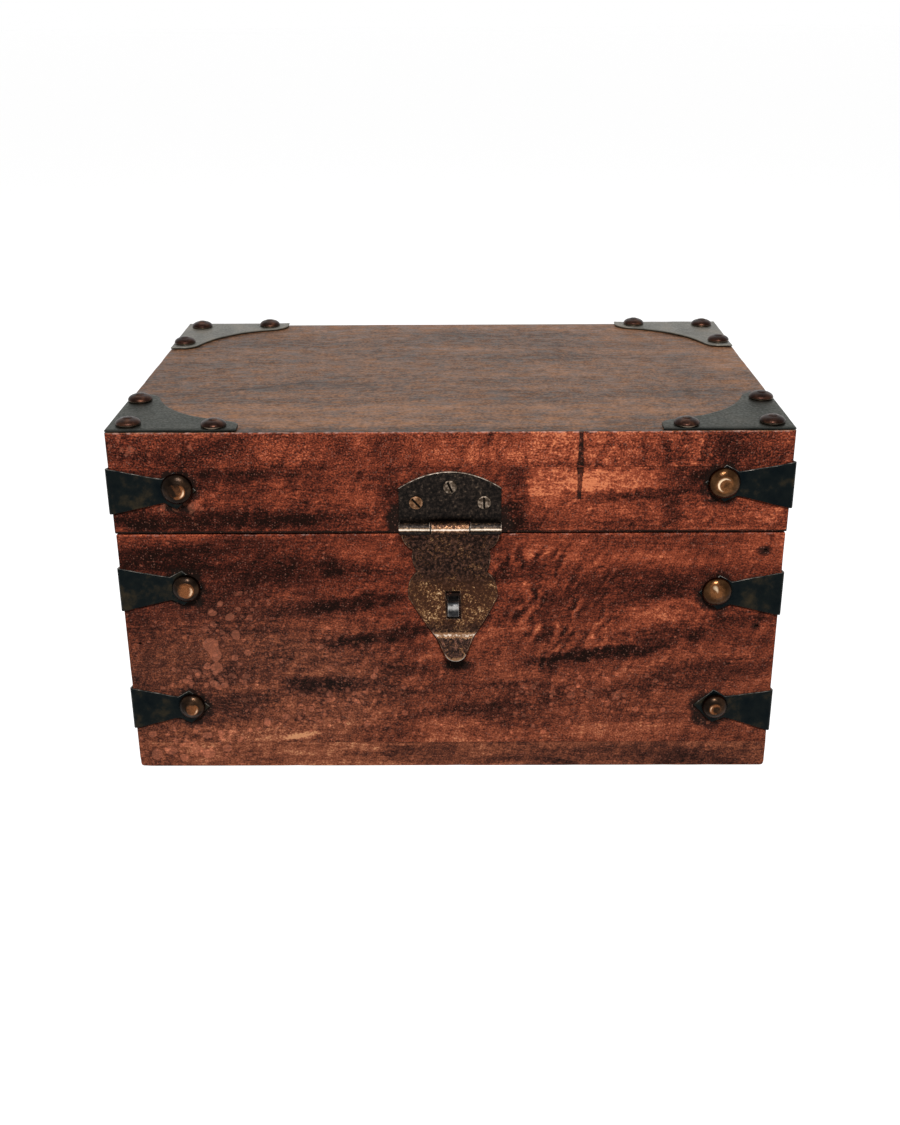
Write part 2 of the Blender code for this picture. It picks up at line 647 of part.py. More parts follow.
def build_chest():
    clear_scene()
    make_material("reddish_hardwood", (0.12, 0.035, 0.018), 0.45, 0.0)
    make_material("blackened_iron", (0.035, 0.035, 0.037), 0.5, 0.9)
    make_material("copper_brown_nail", (0.20, 0.11, 0.05), 0.35, 1.0)
    make_material("worn_steel", (0.40, 0.36, 0.31), 0.4, 1.0)
    add_empty("base_frame", (0.0, 0.0, 0.0))
    add_empty("lid_axis", HINGE_AXIS)
    add_empty("hasp_axis", HASP_AXIS, "lid_axis")
    build_base()
    build_lid()
    build_straps()
    build_plates()
    build_hasp()
    build_hinges()


build_chest()
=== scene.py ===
import json
from math import atan2, cos, exp, pi, radians, sin, sqrt
import bmesh
import bpy
from mathutils import Matrix, Vector, noise


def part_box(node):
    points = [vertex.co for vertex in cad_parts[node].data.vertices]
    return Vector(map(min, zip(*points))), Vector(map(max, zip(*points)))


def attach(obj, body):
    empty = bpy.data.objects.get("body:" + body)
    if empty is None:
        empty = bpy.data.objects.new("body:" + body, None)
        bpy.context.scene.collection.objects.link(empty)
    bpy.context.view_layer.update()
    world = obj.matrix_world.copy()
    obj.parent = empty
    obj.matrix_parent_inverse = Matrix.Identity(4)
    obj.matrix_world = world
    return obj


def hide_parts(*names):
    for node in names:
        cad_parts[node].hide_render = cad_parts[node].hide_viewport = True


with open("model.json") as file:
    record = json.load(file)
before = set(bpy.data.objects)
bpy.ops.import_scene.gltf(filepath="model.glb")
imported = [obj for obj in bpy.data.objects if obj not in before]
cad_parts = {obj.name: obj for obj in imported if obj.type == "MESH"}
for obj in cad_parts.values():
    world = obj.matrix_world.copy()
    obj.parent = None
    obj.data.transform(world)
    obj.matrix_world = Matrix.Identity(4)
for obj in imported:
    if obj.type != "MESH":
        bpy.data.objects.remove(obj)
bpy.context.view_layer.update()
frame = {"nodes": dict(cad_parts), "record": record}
mm = 0.001
print("frame loaded with", len(frame["nodes"]), "nodes")

sides = {"left": -1, "right": 1}
ends = {"front": -1, "back": 1}
cornerTurns = {"front_right": 0, "back_right": 90, "back_left": 180, "front_left": 270}
bodyOf = {node: body for body, nodes in frame["record"]["behaviour"]["bodies"].items() for node in nodes}


# Camera, where the photograph was taken from

viewpoint = {"place": (0.00412, -0.6643, 0.3416), "pitch": 22.79, "yaw": -0.44, "roll": -0.36,
             "lens": 43.35}


def newObject(name, data):
    made = bpy.data.objects.new(name, data)
    bpy.context.scene.collection.objects.link(made)
    return made


def setCamera():
    pitch, yaw, roll = (radians(viewpoint[turn]) for turn in ("pitch", "yaw", "roll"))
    ahead = Vector((sin(yaw) * cos(pitch), cos(yaw) * cos(pitch), -sin(pitch)))
    level = Vector((cos(yaw), -sin(yaw), 0.0))
    upright = level.cross(ahead)
    right = level * cos(roll) + upright * sin(roll)
    up = upright * cos(roll) - level * sin(roll)
    data = bpy.data.cameras.new("photoCamera")
    data.lens = viewpoint["lens"]
    camera = newObject("photoCamera", data)
    facing = Matrix((right, up, -ahead)).transposed().to_4x4()
    camera.matrix_world = Matrix.Translation(viewpoint["place"]) @ facing
    bpy.context.scene.camera = camera


setCamera()
print("camera set")


# Shader node tools

def addNode(tree, kind, values=None, **options):
    made = tree.nodes.new("ShaderNode" + kind)
    for option, value in options.items():
        setattr(made, option, value)
    for socket, value in (values or {}).items():
        if isinstance(value, bpy.types.NodeSocket):
            tree.links.new(value, made.inputs[socket])
        else:
            made.inputs[socket].default_value = value
    return made


def work(tree, operation, first, second=0.0, clamp=False):
    return addNode(tree, "Math", {0: first, 1: second}, operation=operation, use_clamp=clamp).outputs[0]


def times(tree, first, second):
    return work(tree, "MULTIPLY", first, second)


def plus(tree, first, second):
    return work(tree, "ADD", first, second)


def vectorWork(tree, operation, first, second):
    return addNode(tree, "VectorMath", {0: first, 1: second}, operation=operation).outputs[0]


def colour(red, green, blue):
    return (red, green, blue, 1.0)


def mixColour(tree, amount, below, above, how="MIX"):
    mixed = addNode(tree, "Mix", {0: amount, 6: below, 7: above}, data_type="RGBA", blend_type=how)
    return mixed.outputs[2]


def fade(tree, value, start, end, low=0.0, high=1.0):
    # smooth step from low at start to high at end
    return addNode(tree, "MapRange", {0: value, 1: start, 2: end, 3: low, 4: high},
                   interpolation_type="SMOOTHSTEP").outputs[0]


def cloud(tree, vector, scale, detail=4.0, rough=0.55):
    return addNode(tree, "TexNoise", {"Vector": vector, "Scale": scale, "Detail": detail,
                                      "Roughness": rough}).outputs[0]


def ramp(tree, value, stops):
    made = addNode(tree, "ValToRGB", {0: value})
    elements = made.color_ramp.elements
    while len(elements) < len(stops):
        elements.new(0.5)
    for element, (spot, tint) in zip(elements, stops):
        element.position = spot
        element.color = colour(*tint)
    return made.outputs[0]


def startGroup(name, inputs, outputs):
    tree = bpy.data.node_groups.new(name, "ShaderNodeTree")
    for way, sockets in (("INPUT", inputs), ("OUTPUT", outputs)):
        for socket, kind in sockets.items():
            tree.interface.new_socket(socket, in_out=way, socket_type="NodeSocket" + kind)
    return tree, tree.nodes.new("NodeGroupInput").outputs, tree.nodes.new("NodeGroupOutput").inputs


def useGroup(tree, group, values):
    return addNode(tree, "Group", values, node_tree=group).outputs


def leanOver(tree, vector, angle, centre=(0.0, 0.0, 0.0)):
    # turns a vector about Y
    return addNode(tree, "VectorRotate", {"Vector": vector, "Center": centre, "Angle": angle},
                   rotation_type="Y_AXIS").outputs[0]


def attribute(tree, name):
    return addNode(tree, "Attribute", attribute_name=name).outputs["Fac"]


def addBump(tree, shader, height, strength, deep):
    bump = addNode(tree, "Bump", {"Height": height, "Strength": strength, "Distance": deep * mm})
    tree.links.new(bump.outputs[0], shader.inputs["Normal"])


def startMaterial(name):
    material = bpy.data.materials.new(name)
    material.use_nodes = True
    tree = material.node_tree
    spot = addNode(tree, "TexCoord").outputs["Object"]
    return material, tree, tree.nodes["Principled BSDF"], spot


# Shared effects as node groups

def buildDrift():
    # pushes a vector about by a soft cloud, so that what is drawn on it wanders
    tree, start, end = startGroup("drift", {"Vector": "Vector", "Scale": "Float", "Reach": "Vector"},
                                  {"Vector": "Vector"})
    soft = addNode(tree, "TexNoise", {"Vector": start["Vector"], "Scale": start["Scale"], "Detail": 3.0})
    push = vectorWork(tree, "SUBTRACT", soft.outputs["Color"], (0.5, 0.5, 0.5))
    moved = vectorWork(tree, "ADD", start["Vector"], vectorWork(tree, "MULTIPLY", push, start["Reach"]))
    tree.links.new(moved, end["Vector"])
    return tree


# scale along X, Y and Z per metre, detail, and how far the layer's strokes lean in degrees
grainLayers = {"Cloud": ((28.0, 64.0, 64.0), 4.0, 0.0), "Streak": ((16.0, 140.0, 140.0), 4.0, 0.0),
               "Feather": ((330.0, 330.0, 70.0), 3.0, -25.0), "Fine": ((200.0, 900.0, 900.0), 2.0, 0.0),
               "Grit": ((1250.0, 1500.0, 1500.0), 3.0, 0.0)}


def buildGrain():
    # fibres along X: soft clouds, long streaks, leaning feathers, fine lines and a grit of pores
    layers = {layer: "Float" for layer in grainLayers}
    tree, start, end = startGroup("longGrain", {"Vector": "Vector"}, layers)
    for layer, (stretch, detail, lean) in grainLayers.items():
        turned = leanOver(tree, start["Vector"], radians(lean))
        spread = vectorWork(tree, "MULTIPLY", turned, stretch)
        tree.links.new(cloud(tree, spread, 1.0, detail, 0.6), end[layer])
    return tree


def buildCurl():
    # curly figure: wavering bands across the grain
    tree, start, end = startGroup("curlFigure", {"Vector": "Vector", "Turn": "Float", "Period": "Float"},
                                  {"Band": "Float"})
    along = addNode(tree, "SeparateXYZ", {0: leanOver(tree, start["Vector"], start["Turn"])}).outputs[0]
    unrest = times(tree, cloud(tree, start["Vector"], 60.0, 4.0), 4.0)
    phase = plus(tree, work(tree, "DIVIDE", along, start["Period"]), unrest)
    wave = work(tree, "SINE", times(tree, phase, 2 * pi))
    broken = fade(tree, cloud(tree, start["Vector"], 95.0, 3.0), 0.40, 0.62)
    tree.links.new(times(tree, wave, broken), end["Band"])
    return tree


def buildPatch():
    # one soft-edged oval on the XZ plane
    tree, start, end = startGroup("patch", {"Vector": "Vector", "Centre": "Vector", "Size": "Vector",
                                            "Tilt": "Float"}, {"Mask": "Float"})
    turned = leanOver(tree, start["Vector"], start["Tilt"], start["Centre"])
    away = vectorWork(tree, "SUBTRACT", turned, start["Centre"])
    share = vectorWork(tree, "DIVIDE", away, start["Size"])
    far = addNode(tree, "VectorMath", {0: share}, operation="LENGTH").outputs["Value"]
    tree.links.new(fade(tree, far, 1.25, 0.35), end["Mask"])
    return tree


def buildSpecks():
    # scattered round spots of unlike size
    tree, start, end = startGroup("specks", {"Vector": "Vector", "Scale": "Float", "Cover": "Float"},
                                  {"Mask": "Float"})
    cells = addNode(tree, "TexVoronoi", {"Vector": start["Vector"], "Scale": start["Scale"]})
    chance = addNode(tree, "SeparateColor", {0: cells.outputs["Color"]}).outputs[0]
    size = times(tree, work(tree, "POWER", chance, 2.0), start["Cover"])
    inner = times(tree, size, 0.70)
    tree.links.new(fade(tree, cells.outputs["Distance"], size, inner), end["Mask"])
    return tree


def buildMottle():
    # cloudy patina with a fine grit in it
    tree, start, end = startGroup("mottle", {"Vector": "Vector", "Scale": "Float"},
                                  {"Tone": "Float", "Grit": "Float"})
    tone = cloud(tree, start["Vector"], start["Scale"], 7.0, 0.62)
    grit = cloud(tree, start["Vector"], times(tree, start["Scale"], 14.0), 3.0, 0.6)
    tree.links.new(tone, end["Tone"])
    tree.links.new(grit, end["Grit"])
    return tree


def buildWornAndLit():
    # where a piece's own wear and painted light attribute shows, broken up by noise; the brightest part is a
    # painted glint
    tree, start, end = startGroup("worn", {"Vector": "Vector", "Scale": "Float", "WearAndPaintedLight": "Float",
                                           "Ragged": "Float"}, {"Mask": "Float", "Glint": "Float"})
    patchy = work(tree, "SUBTRACT", cloud(tree, start["Vector"], start["Scale"], 5.0, 0.65), 0.5)
    total = plus(tree, start["WearAndPaintedLight"], times(tree, patchy, start["Ragged"]))
    tree.links.new(fade(tree, total, 0.30, 0.75), end["Mask"])
    tree.links.new(fade(tree, total, 0.95, 1.45), end["Glint"])
    return tree


drift = buildDrift()
longGrain = buildGrain()
curlFigure = buildCurl()
patch = buildPatch()
specks = buildSpecks()
mottle = buildMottle()
worn = buildWornAndLit()
print("node groups built")


# Wood finishes

redStops = [(0.0, (0.009, 0.004, 0.003)), (0.2, (0.030, 0.0085, 0.006)), (0.4, (0.080, 0.0185, 0.011)),
            (0.6, (0.182, 0.038, 0.018)), (0.8, (0.315, 0.072, 0.034)), (1.0, (0.580, 0.180, 0.080))]
brownStops = [(0.0, (0.020, 0.010, 0.005)), (0.3, (0.056, 0.026, 0.013)), (0.5, (0.092, 0.043, 0.021)),
              (0.75, (0.140, 0.066, 0.033)), (1.0, (0.220, 0.106, 0.054))]
rawStops = [(0.0, (0.050, 0.028, 0.017)), (0.3, (0.120, 0.066, 0.038)), (0.5, (0.190, 0.105, 0.058)),
            (0.75, (0.260, 0.150, 0.085)), (1.0, (0.340, 0.210, 0.125))]

# patches are in millimetres: across, up, half length, half height, tilt in degrees, strength
plainWood = {"stops": redStops, "turn": (0, 0, 0), "shift": (0, 0, 0), "stretch": (1, 1, 1),
             "flat": (0, 0, 0), "level": 0.47, "Cloud": 0.70, "Streak": 0.45, "Feather": 0.60, "Fine": 0.60,
             "Grit": 1.20, "curl": 0.0, "lean": 70, "period": 7.0, "curled": [], "darks": [], "lights": [],
             "glows": [], "stainsAndShadows": [], "browned": [], "losses": [], "blots": [], "lost": 0.16,
             "spots": [(420.0, 1.6, 0.46), (230.0, 1.4, 0.50), (125.0, 0.8, 0.36)],
             "scatter": 0.36, "rough": (0.36, 0.62), "specular": 0.012, "bump": 0.4}
# tints of the marks of age, of the grime with painted shade, of the dust with painted glints and of the
# painted edge highlight, and how much each one shows
woodMarks = {"bare": (0.370, 0.122, 0.066), "bareLift": (2.7, 2.6, 2.6), "bareShare": 0.42,
             "rubLift": 0.12, "soilAndShadeDrop": 0.40, "soilAndShade": (0.016, 0.011, 0.009), "soilAndShadeShare": 0.5,
             "aged": (0.95, 1.37, 1.50), "ring": (0.030, 0.012, 0.008), "ringShare": 0.35,
             "ringFade": (0.22, 0.40), "blotShare": 0.70, "blotFade": (0.40, 0.55),
             "dustAndGlint": (0.290, 0.130, 0.092), "dustAndGlintShare": 0.31, "dustAndGlintScale": 900.0,
             "rim": (0.480, 0.290, 0.240), "rimShare": 0.50}
# how high the grain's layers and the dust and glint specks stand, and the depth of the whole in millimetres
woodRelief = {"Fine": 0.5, "Grit": 0.4, "dustAndGlint": 0.4, "deep": 0.25}
# scale per metre, weight and raggedness of the wear, grime with painted shade and painted highlight that a
# board's own attributes carry
boardMarkLayers = {"edge": (160.0, 0.6, 1.4), "grimeAndShade": (240.0, 1.0, 0.9), "rim": (300.0, 0.46, 1.8)}
# how far patterns wander: scale per metre, and reach along X, Y and Z in metres
drifts = {"fibres": (14.0, (0.02, 0.004, 0.008)), "loose": (60.0, (0.016, 0.0, 0.008)),
          "torn": (330.0, (0.008, 0.0, 0.005)), "dotted": (520.0, (0.0014, 0.0014, 0.0014))}


def wander(tree, vector, name):
    scale, reach = drifts[name]
    return useGroup(tree, drift, {"Vector": vector, "Scale": scale, "Reach": reach})["Vector"]


def boardMarkMask(tree, spot, name):
    scale, weight, ragged = boardMarkLayers[name]
    wearAndPaintedLight = times(tree, attribute(tree, name), weight)
    return useGroup(tree, worn, {"Vector": spot, "Scale": scale, "WearAndPaintedLight": wearAndPaintedLight, "Ragged": ragged})["Mask"]


def speckMask(tree, vector, scale, cover):
    return useGroup(tree, specks, {"Vector": vector, "Scale": scale, "Cover": cover})["Mask"]


def addPatches(tree, vector, patches, total):
    for across, up, long, high, tilt, strength in patches:
        mask = useGroup(tree, patch, {"Vector": vector, "Centre": (across * mm, 0.0, up * mm),
                                      "Size": (long * mm, 10.0, high * mm), "Tilt": radians(tilt)})["Mask"]
        total = plus(tree, total, times(tree, mask, strength))
    return total


def bareWood(tree, tint):
    # wood without its finish: paler than the ground it lies on
    paler = mixColour(tree, 1.0, tint, colour(*woodMarks["bareLift"]), "MULTIPLY")
    return mixColour(tree, woodMarks["bareShare"], paler, colour(*woodMarks["bare"]))


def woodTone(tree, look, grain, vectors):
    # grain, curl and the placed patches together, dark at 0 and pale at 1
    tone = look["level"]
    for layer in grainLayers:
        tone = plus(tree, times(tree, work(tree, "SUBTRACT", grain[layer], 0.5), look[layer]), tone)
    if look["curled"]:
        band = useGroup(tree, curlFigure, {"Vector": vectors["flat"], "Turn": radians(look["lean"] - 90),
                                           "Period": look["period"] * mm})["Band"]
        where = times(tree, addPatches(tree, vectors["loose"], look["curled"], 0.0), look["curl"])
        tone = plus(tree, tone, times(tree, band, where))
    tone = addPatches(tree, vectors["torn"], look["lights"], tone)
    tone = addPatches(tree, vectors["dotted"], look["glows"], tone)
    darks = [(*place, -strength) for *place, strength in look["darks"]]
    return addPatches(tree, vectors["torn"], darks, tone)


def loseFinish(tree, look, tint, vectors):
    # finish lost in round spots, most of it where the losses are listed
    lost = addPatches(tree, vectors["loose"], look["losses"], look["lost"])
    for scale, share, amount in look["spots"]:
        spots = speckMask(tree, vectors["dotted"], scale, times(tree, lost, share))
        tint = mixColour(tree, times(tree, spots, amount), tint, bareWood(tree, tint))
    if look["blots"]:
        large = addPatches(tree, vectors["dotted"], look["blots"], 0.0)
        ring = fade(tree, large, *woodMarks["ringFade"], 0.0, woodMarks["ringShare"])
        tint = mixColour(tree, ring, tint, colour(*woodMarks["ring"]))
        bare = fade(tree, large, *woodMarks["blotFade"], 0.0, woodMarks["blotShare"])
        tint = mixColour(tree, bare, tint, bareWood(tree, tint))
    return tint


def showMark(tree, tint, mask, mark):
    return mixColour(tree, times(tree, mask, woodMarks[mark + "Share"]), tint, colour(*woodMarks[mark]))


def makeWood(name, changes):
    look = {**plainWood, **changes}
    material, tree, shader, spot = startMaterial(name)
    turn, flatTurn = ([radians(angle) for angle in look[way]] for way in ("turn", "flat"))
    aligned = addNode(tree, "Mapping", {"Vector": spot, "Rotation": turn, "Location": look["shift"],
                                        "Scale": look["stretch"]}).outputs[0]
    grain = useGroup(tree, longGrain, {"Vector": wander(tree, aligned, "fibres")})
    flat = addNode(tree, "Mapping", {"Vector": spot, "Rotation": flatTurn}).outputs[0]
    loose = wander(tree, flat, "loose")
    vectors = {"flat": flat, "loose": loose, "torn": wander(tree, loose, "torn"),
               "dotted": wander(tree, spot, "dotted")}

    # grime with painted shade from the board's attribute, together with the listed stains and painted
    # shadows
    soiledAndShaded = boardMarkMask(tree, spot, "grimeAndShade")
    if look["stainsAndShadows"]:
        soiledAndShaded = work(tree, "MAXIMUM", soiledAndShaded, addPatches(tree, flat, look["stainsAndShadows"], 0.0))
    tone = woodTone(tree, look, grain, vectors)
    tone = plus(tree, tone, times(tree, boardMarkMask(tree, spot, "edge"), woodMarks["rubLift"]))
    tone = work(tree, "SUBTRACT", tone, times(tree, soiledAndShaded, woodMarks["soilAndShadeDrop"]), True)
    tint = ramp(tree, tone, look["stops"])
    if look["browned"]:
        aged = mixColour(tree, 1.0, tint, colour(*woodMarks["aged"]), "MULTIPLY")
        tint = mixColour(tree, addPatches(tree, loose, look["browned"], 0.0), tint, aged)
    # the soil colour darkens both the grime and the painted shade
    tint = showMark(tree, tint, soiledAndShaded, "soilAndShade")
    tint = loseFinish(tree, look, tint, vectors)
    # pale specks: partly dust, partly painted glints off the finish
    dustAndGlint = speckMask(tree, spot, woodMarks["dustAndGlintScale"], look["scatter"])
    tint = showMark(tree, tint, dustAndGlint, "dustAndGlint")
    # a painted highlight along the front's top edges
    tint = showMark(tree, tint, boardMarkMask(tree, spot, "rim"), "rim")
    tree.links.new(tint, shader.inputs["Base Color"])

    tree.links.new(fade(tree, grain["Fine"], 0.3, 0.8, *look["rough"]), shader.inputs["Roughness"])
    shader.inputs["Specular IOR Level"].default_value = look["specular"]
    height = times(tree, dustAndGlint, woodRelief["dustAndGlint"])
    for layer in ("Fine", "Grit"):
        height = plus(tree, height, times(tree, grain[layer], woodRelief[layer]))
    addBump(tree, shader, height, look["bump"], woodRelief["deep"])
    return material


baseFrontLook = {
    "level": 0.465, "Cloud": 0.68, "Streak": 0.70, "Grit": 1.35, "curl": 0.23, "lean": 66, "period": 6.0,
    "curled": [(44, 90, 34, 24, 0, 1.3), (60, 60, 40, 20, 0, 0.7), (20, 106, 30, 12, 0, 0.8),
               (-30, 70, 40, 20, 0, 0.4)],
    "darks": [(-44, 86, 30, 4.8, 8, 0.34), (-34, 68, 29, 4.0, 9, 0.32), (-55, 44, 32, 5.5, 2, 0.34),
              (72, 60, 32, 4.6, 9, 0.44), (44, 56, 14, 3.0, 12, 0.18), (14, 31, 28, 4.0, 4, 0.20),
              (66, 94, 26, 7.0, 14, 0.20), (-16, 73, 12, 5.0, 8, 0.20), (114, 49, 38, 7.5, 8, 0.28),
              (-95, 71, 20, 4.5, 3, 0.10), (-132, 108, 30, 10.0, 0, 0.16), (-53, 103, 5, 6.0, 0, 0.24),
              (92, 93, 16, 8.0, 20, 0.24), (-110, 84, 60, 44.0, 0, 0.10), (30, 44, 20, 3.0, 6, 0.14),
              (-70, 100, 56, 15.0, 0, 0.16), (-96, 34, 16, 8.0, 0, 0.14), (112, 70, 3, 7.0, -30, 0.24),
              (-24, 52, 20, 6.0, 4, 0.26), (-26, 72, 30, 24.0, 0, 0.10), (60, 74, 36, 4.0, 8, 0.14),
              (-100, 106, 60, 14.0, 0, 0.10), (-141, 60, 10, 60.0, 0, 0.10), (118, 74, 36, 8.0, 6, 0.08),
              (100, 96, 40, 8.0, 6, 0.08), (56, 98, 60, 16.0, 0, 0.05)],
    # painted shade in the staple's slot, a painted shadow under the flap's tip, then dirt round two pin
    # holes
    "stainsAndShadows": [(1.2, 85.4, 7.0, 11.0, 0, 1.5), (2.3, 54.4, 7.0, 3.4, 0, 1.1),
               (140.5, 111, 3.6, 2.6, 0, 0.9), (139.5, 73.5, 2.4, 2.2, 0, 0.7)],
    "browned": [(0, 0, 400, 84, 0, 0.5), (-100, 42, 80, 54, 0, 0.8)],
    "glows": [(-72, 16.8, 9.5, 1.6, 11, 0.52), (97, 78.5, 7.0, 1.4, -14, 0.14)],
    "blots": [(-111, 65, 4.6, 4.2, 30, 1), (-109, 60, 3.4, 4.0, 0, 1), (-109, 53, 3.4, 3.4, 20, 1),
              (-111, 44.7, 2.2, 2.2, 0, 1), (-101, 79, 2.8, 2.2, 30, 1), (-109, 81, 2.4, 2.0, 0, 1),
              (-94, 60.7, 2.0, 2.0, 0, 1), (-106, 44, 2.1, 1.9, 0, 1), (-60, 63.7, 1.7, 1.7, 0, 1),
              (-36, 48.3, 1.8, 1.6, 0, 1), (-142, 17.8, 2.6, 2.2, 0, 1), (-99, 70, 2.4, 3.2, 15, 1),
              (-124, 46, 1.8, 1.5, 0, 1), (-129, 52, 1.5, 1.4, 0, 1), (-118, 49, 1.4, 1.6, 0, 1),
              (-87, 24, 2.2, 3.4, 0, 0.8), (-78, 27, 2.6, 2.2, 0, 0.8), (-66, 31, 1.9, 2.2, 0, 0.8),
              (-116, 17, 3.0, 2.2, 0, 1), (-105, 86, 1.8, 1.5, 0, 1), (-97, 83, 1.6, 1.4, 0, 1)],
    "lights": [(74, 110, 44, 9.0, 2, 0.10), (40, 112, 40, 6.0, 2, 0.08), (-84, 15.5, 14, 2.6, 2, 0.14),
               (20, 18, 74, 9.0, 2, 0.13), (104, 81, 24, 7.5, 6, 0.16), (-10, 60, 30, 4.0, 8, 0.06),
               (-45, 26, 24, 6.0, 8, 0.20), (-90, 15, 40, 6.0, 0, 0.10), (-80, 72, 36, 6.0, 2, 0.08),
               (4, 40, 16, 4.0, 0, 0.10), (90, 24, 50, 12.0, 0, 0.09), (-40, 112, 20, 4.5, 0, 0.10)],
    "losses": [(-107, 62, 18, 26, 0, 0.16), (-100, 84, 18, 10, 0, 0.20), (-116, 44, 28, 14, 0, 0.18),
               (-50, 50, 60, 26, 0, 0.14), (-122, 14, 34, 16, 0, 0.26), (60, 30, 80, 20, 0, 0.14),
               (56, 44, 40, 10, 0, 0.18), (-60, 30, 40, 14, 0, 0.20)],
    "scatter": 0.46,
}
bottomLook = {
    "level": 0.54, "shift": (0.31, 0.0, 0.07), "Streak": 0.9,
    "darks": [(44, 6, 34, 3.5, 3, 0.10), (-20, 9, 30, 2.0, 4, 0.12), (100, 5, 50, 8.0, 2, 0.12)],
    "lights": [(-60, 9, 34, 3.0, 5, 0.18), (-100, 6, 40, 6.0, 0, 0.10), (10, 10, 40, 4.0, 0, 0.10)],
    "losses": [(-126, 9, 30, 14, 0, 0.30)], "scatter": 0.36, "browned": [(0, 5, 400, 60, 0, 1.0)],
    "blots": [(-141, 6.8, 3.0, 3.6, -20, 1.2), (-134, 9, 3.6, 2.8, 0, 1.2), (-122, 9.5, 3.2, 3.0, 0, 1.2),
              (-116, 7, 3.6, 3.2, 0, 1.2), (-107, 10, 2.8, 2.6, 0, 1), (-128, 5, 2.4, 2.6, 0, 1)],
}
lidRailLook = {
    "level": 0.48, "shift": (0.12, 0.0, 0.21), "Streak": 0.6, "Fine": 0.7, "Grit": 1.5,
    "darks": [(-95, 126, 66, 4.5, 2, 0.26), (-142, 128, 18, 8.0, 0, 0.20), (29, 136, 6, 22.0, 0, 0.26),
              (62, 137, 26, 2.4, 0, 0.24), (92, 138, 18, 3.0, 3, 0.26), (-96, 146, 24, 4.0, 0, 0.20),
              (97, 130, 7, 5.0, 40, 0.22), (108, 146, 14, 7.0, 0, 0.18), (-100, 149, 50, 3.0, 0, 0.14),
              (-27, 134, 5, 14.0, 0, 0.20), (-90, 140, 90, 30.0, 0, 0.11), (30, 124, 10, 8.0, 0, 0.16)],
    "lights": [(48, 142, 24, 9.0, 0, 0.40), (72, 145, 20, 8.0, 0, 0.26), (-58, 135, 36, 6.0, 2, 0.16),
               (-36, 148, 26, 4.0, 0, 0.10), (141, 128, 10, 3.5, 0, 0.20), (75, 130, 40, 5.0, 2, 0.10),
               (88, 144, 18, 6.0, 0, 0.18)],
    "losses": [(-116, 132, 14, 4, 0, 0.46), (140, 126, 9, 4, 0, 0.36)], "scatter": 0.42,
}
lidEdgeLook = {
    "level": 0.515, "shift": (0.55, 0.0, 0.33), "Streak": 0.5, "Grit": 1.8, "curl": 0.12, "lean": 88,
    "curled": [(50, 160, 70, 20, 0, 1.0)],
    "darks": [(-98, 160, 14, 9.0, 0, 0.08), (-28, 160, 10, 9.0, 0, 0.12), (30, 165, 6, 4.0, 0, 0.10),
              (94, 160, 3, 12.0, 0, 0.20), (100, 160, 2.5, 12.0, 0, 0.18), (84, 160, 2, 12.0, 0, 0.18),
              (121, 158, 11, 11.0, 0, 0.30), (138, 156, 12, 9.0, 0, 0.12), (-126, 159, 50, 12.0, 0, 0.14),
              (109, 160, 2.5, 12.0, 0, 0.22), (-100, 160, 60, 14.0, 0, 0.07)],
    "lights": [(40, 160, 24, 9.0, 0, 0.24), (72, 160, 14, 8.0, 0, 0.10), (-70, 159, 22, 7.0, 0, 0.14),
               (104, 160, 3, 12.0, 0, 0.14), (5, 158, 18, 7.0, 0, 0.14)],
    "losses": [(-140, 160, 14, 6, 0, 0.30), (-113, 160, 3, 3, 0, 0.5)], "scatter": 0.48,
}
lidTopLook = {
    "stops": brownStops, "level": 0.50, "shift": (0.8, 0.4, 0.1), "stretch": (0.6, 0.5, 1),
    "flat": (90, 0, 0), "Cloud": 0.85, "Streak": 1.1, "Feather": 1.0, "Fine": 1.3, "Grit": 2.2,
    "rough": (0.36, 0.72), "specular": 0.15, "scatter": 0.2, "lost": 0.0, "bump": 0.6,
    "darks": [(-72, -22, 62, 2.4, 24, 0.22), (-96, -8, 24, 1.8, 26, 0.16), (10, 20, 70, 30.0, 0, 0.06),
              (-86, -96, 12, 7.0, 0, 0.20), (86, -96, 12, 7.0, 0, 0.14), (0, -101, 150, 6.0, 0, 0.16)],
    "lights": [(-60, -76, 80, 22.0, 0, 0.26), (60, -76, 60, 18.0, 0, 0.18), (0, 98, 170, 16.0, 0, 0.34),
               (141, 8, 16, 40.0, 0, 0.28), (96, 78, 28, 22.0, 0, 0.24)],
}

rawLook = {"stops": rawStops, "rough": (0.6, 0.8), "specular": 0.1, "scatter": 0.1, "lost": 0.0}

woods = {
    "baseFront": makeWood("reddishFront", baseFrontLook),
    "bottom": makeWood("reddishBottom", bottomLook),
    "lidRail": makeWood("reddishLidRail", lidRailLook),
    "lidEdge": makeWood("figuredLidEdge", lidEdgeLook),
    "lidTop": makeWood("brownLidTop", lidTopLook),
    "baseBack": makeWood("reddishBack", {"shift": (0.4, 0.2, 0.5)}),
    "side": makeWood("reddishSide", {"turn": (0, 0, 90), "shift": (0.2, 0.6, 0.3)}),
    "raw": makeWood("rawInside", rawLook),
    "rawSide": makeWood("rawInsideEnds", {**rawLook, "turn": (0, 0, 90)}),
}
print("woods mixed:", len(woods))


# Metal finishes

plainMetal = {"stops": [(0.35, (0.003, 0.005, 0.006)), (0.52, (0.006, 0.008, 0.008)),
                        (0.70, (0.026, 0.020, 0.012))],
              "scale": 120.0, "worn": (0.30, 0.27, 0.23), "wornScale": 420.0, "ragged": 0.8,
              "rough": (0.36, 0.58), "metallic": 1.0, "glint": (0.60, 0.52, 0.44), "tinge": (1.0, 1.0, 1.0),
              "flecks": None, "bump": 0.25}
# relief of the patina's grit and of the flecks, its depth in millimetres, and how grit breaks up the polish
# and the painted highlights
metalRelief = {"grit": 0.6, "flecks": 0.5, "deep": 0.2, "polish": (0.32, 0.68, 0.45, 1.1), "smoother": 0.3,
               "dull": (0.25, 0.7)}


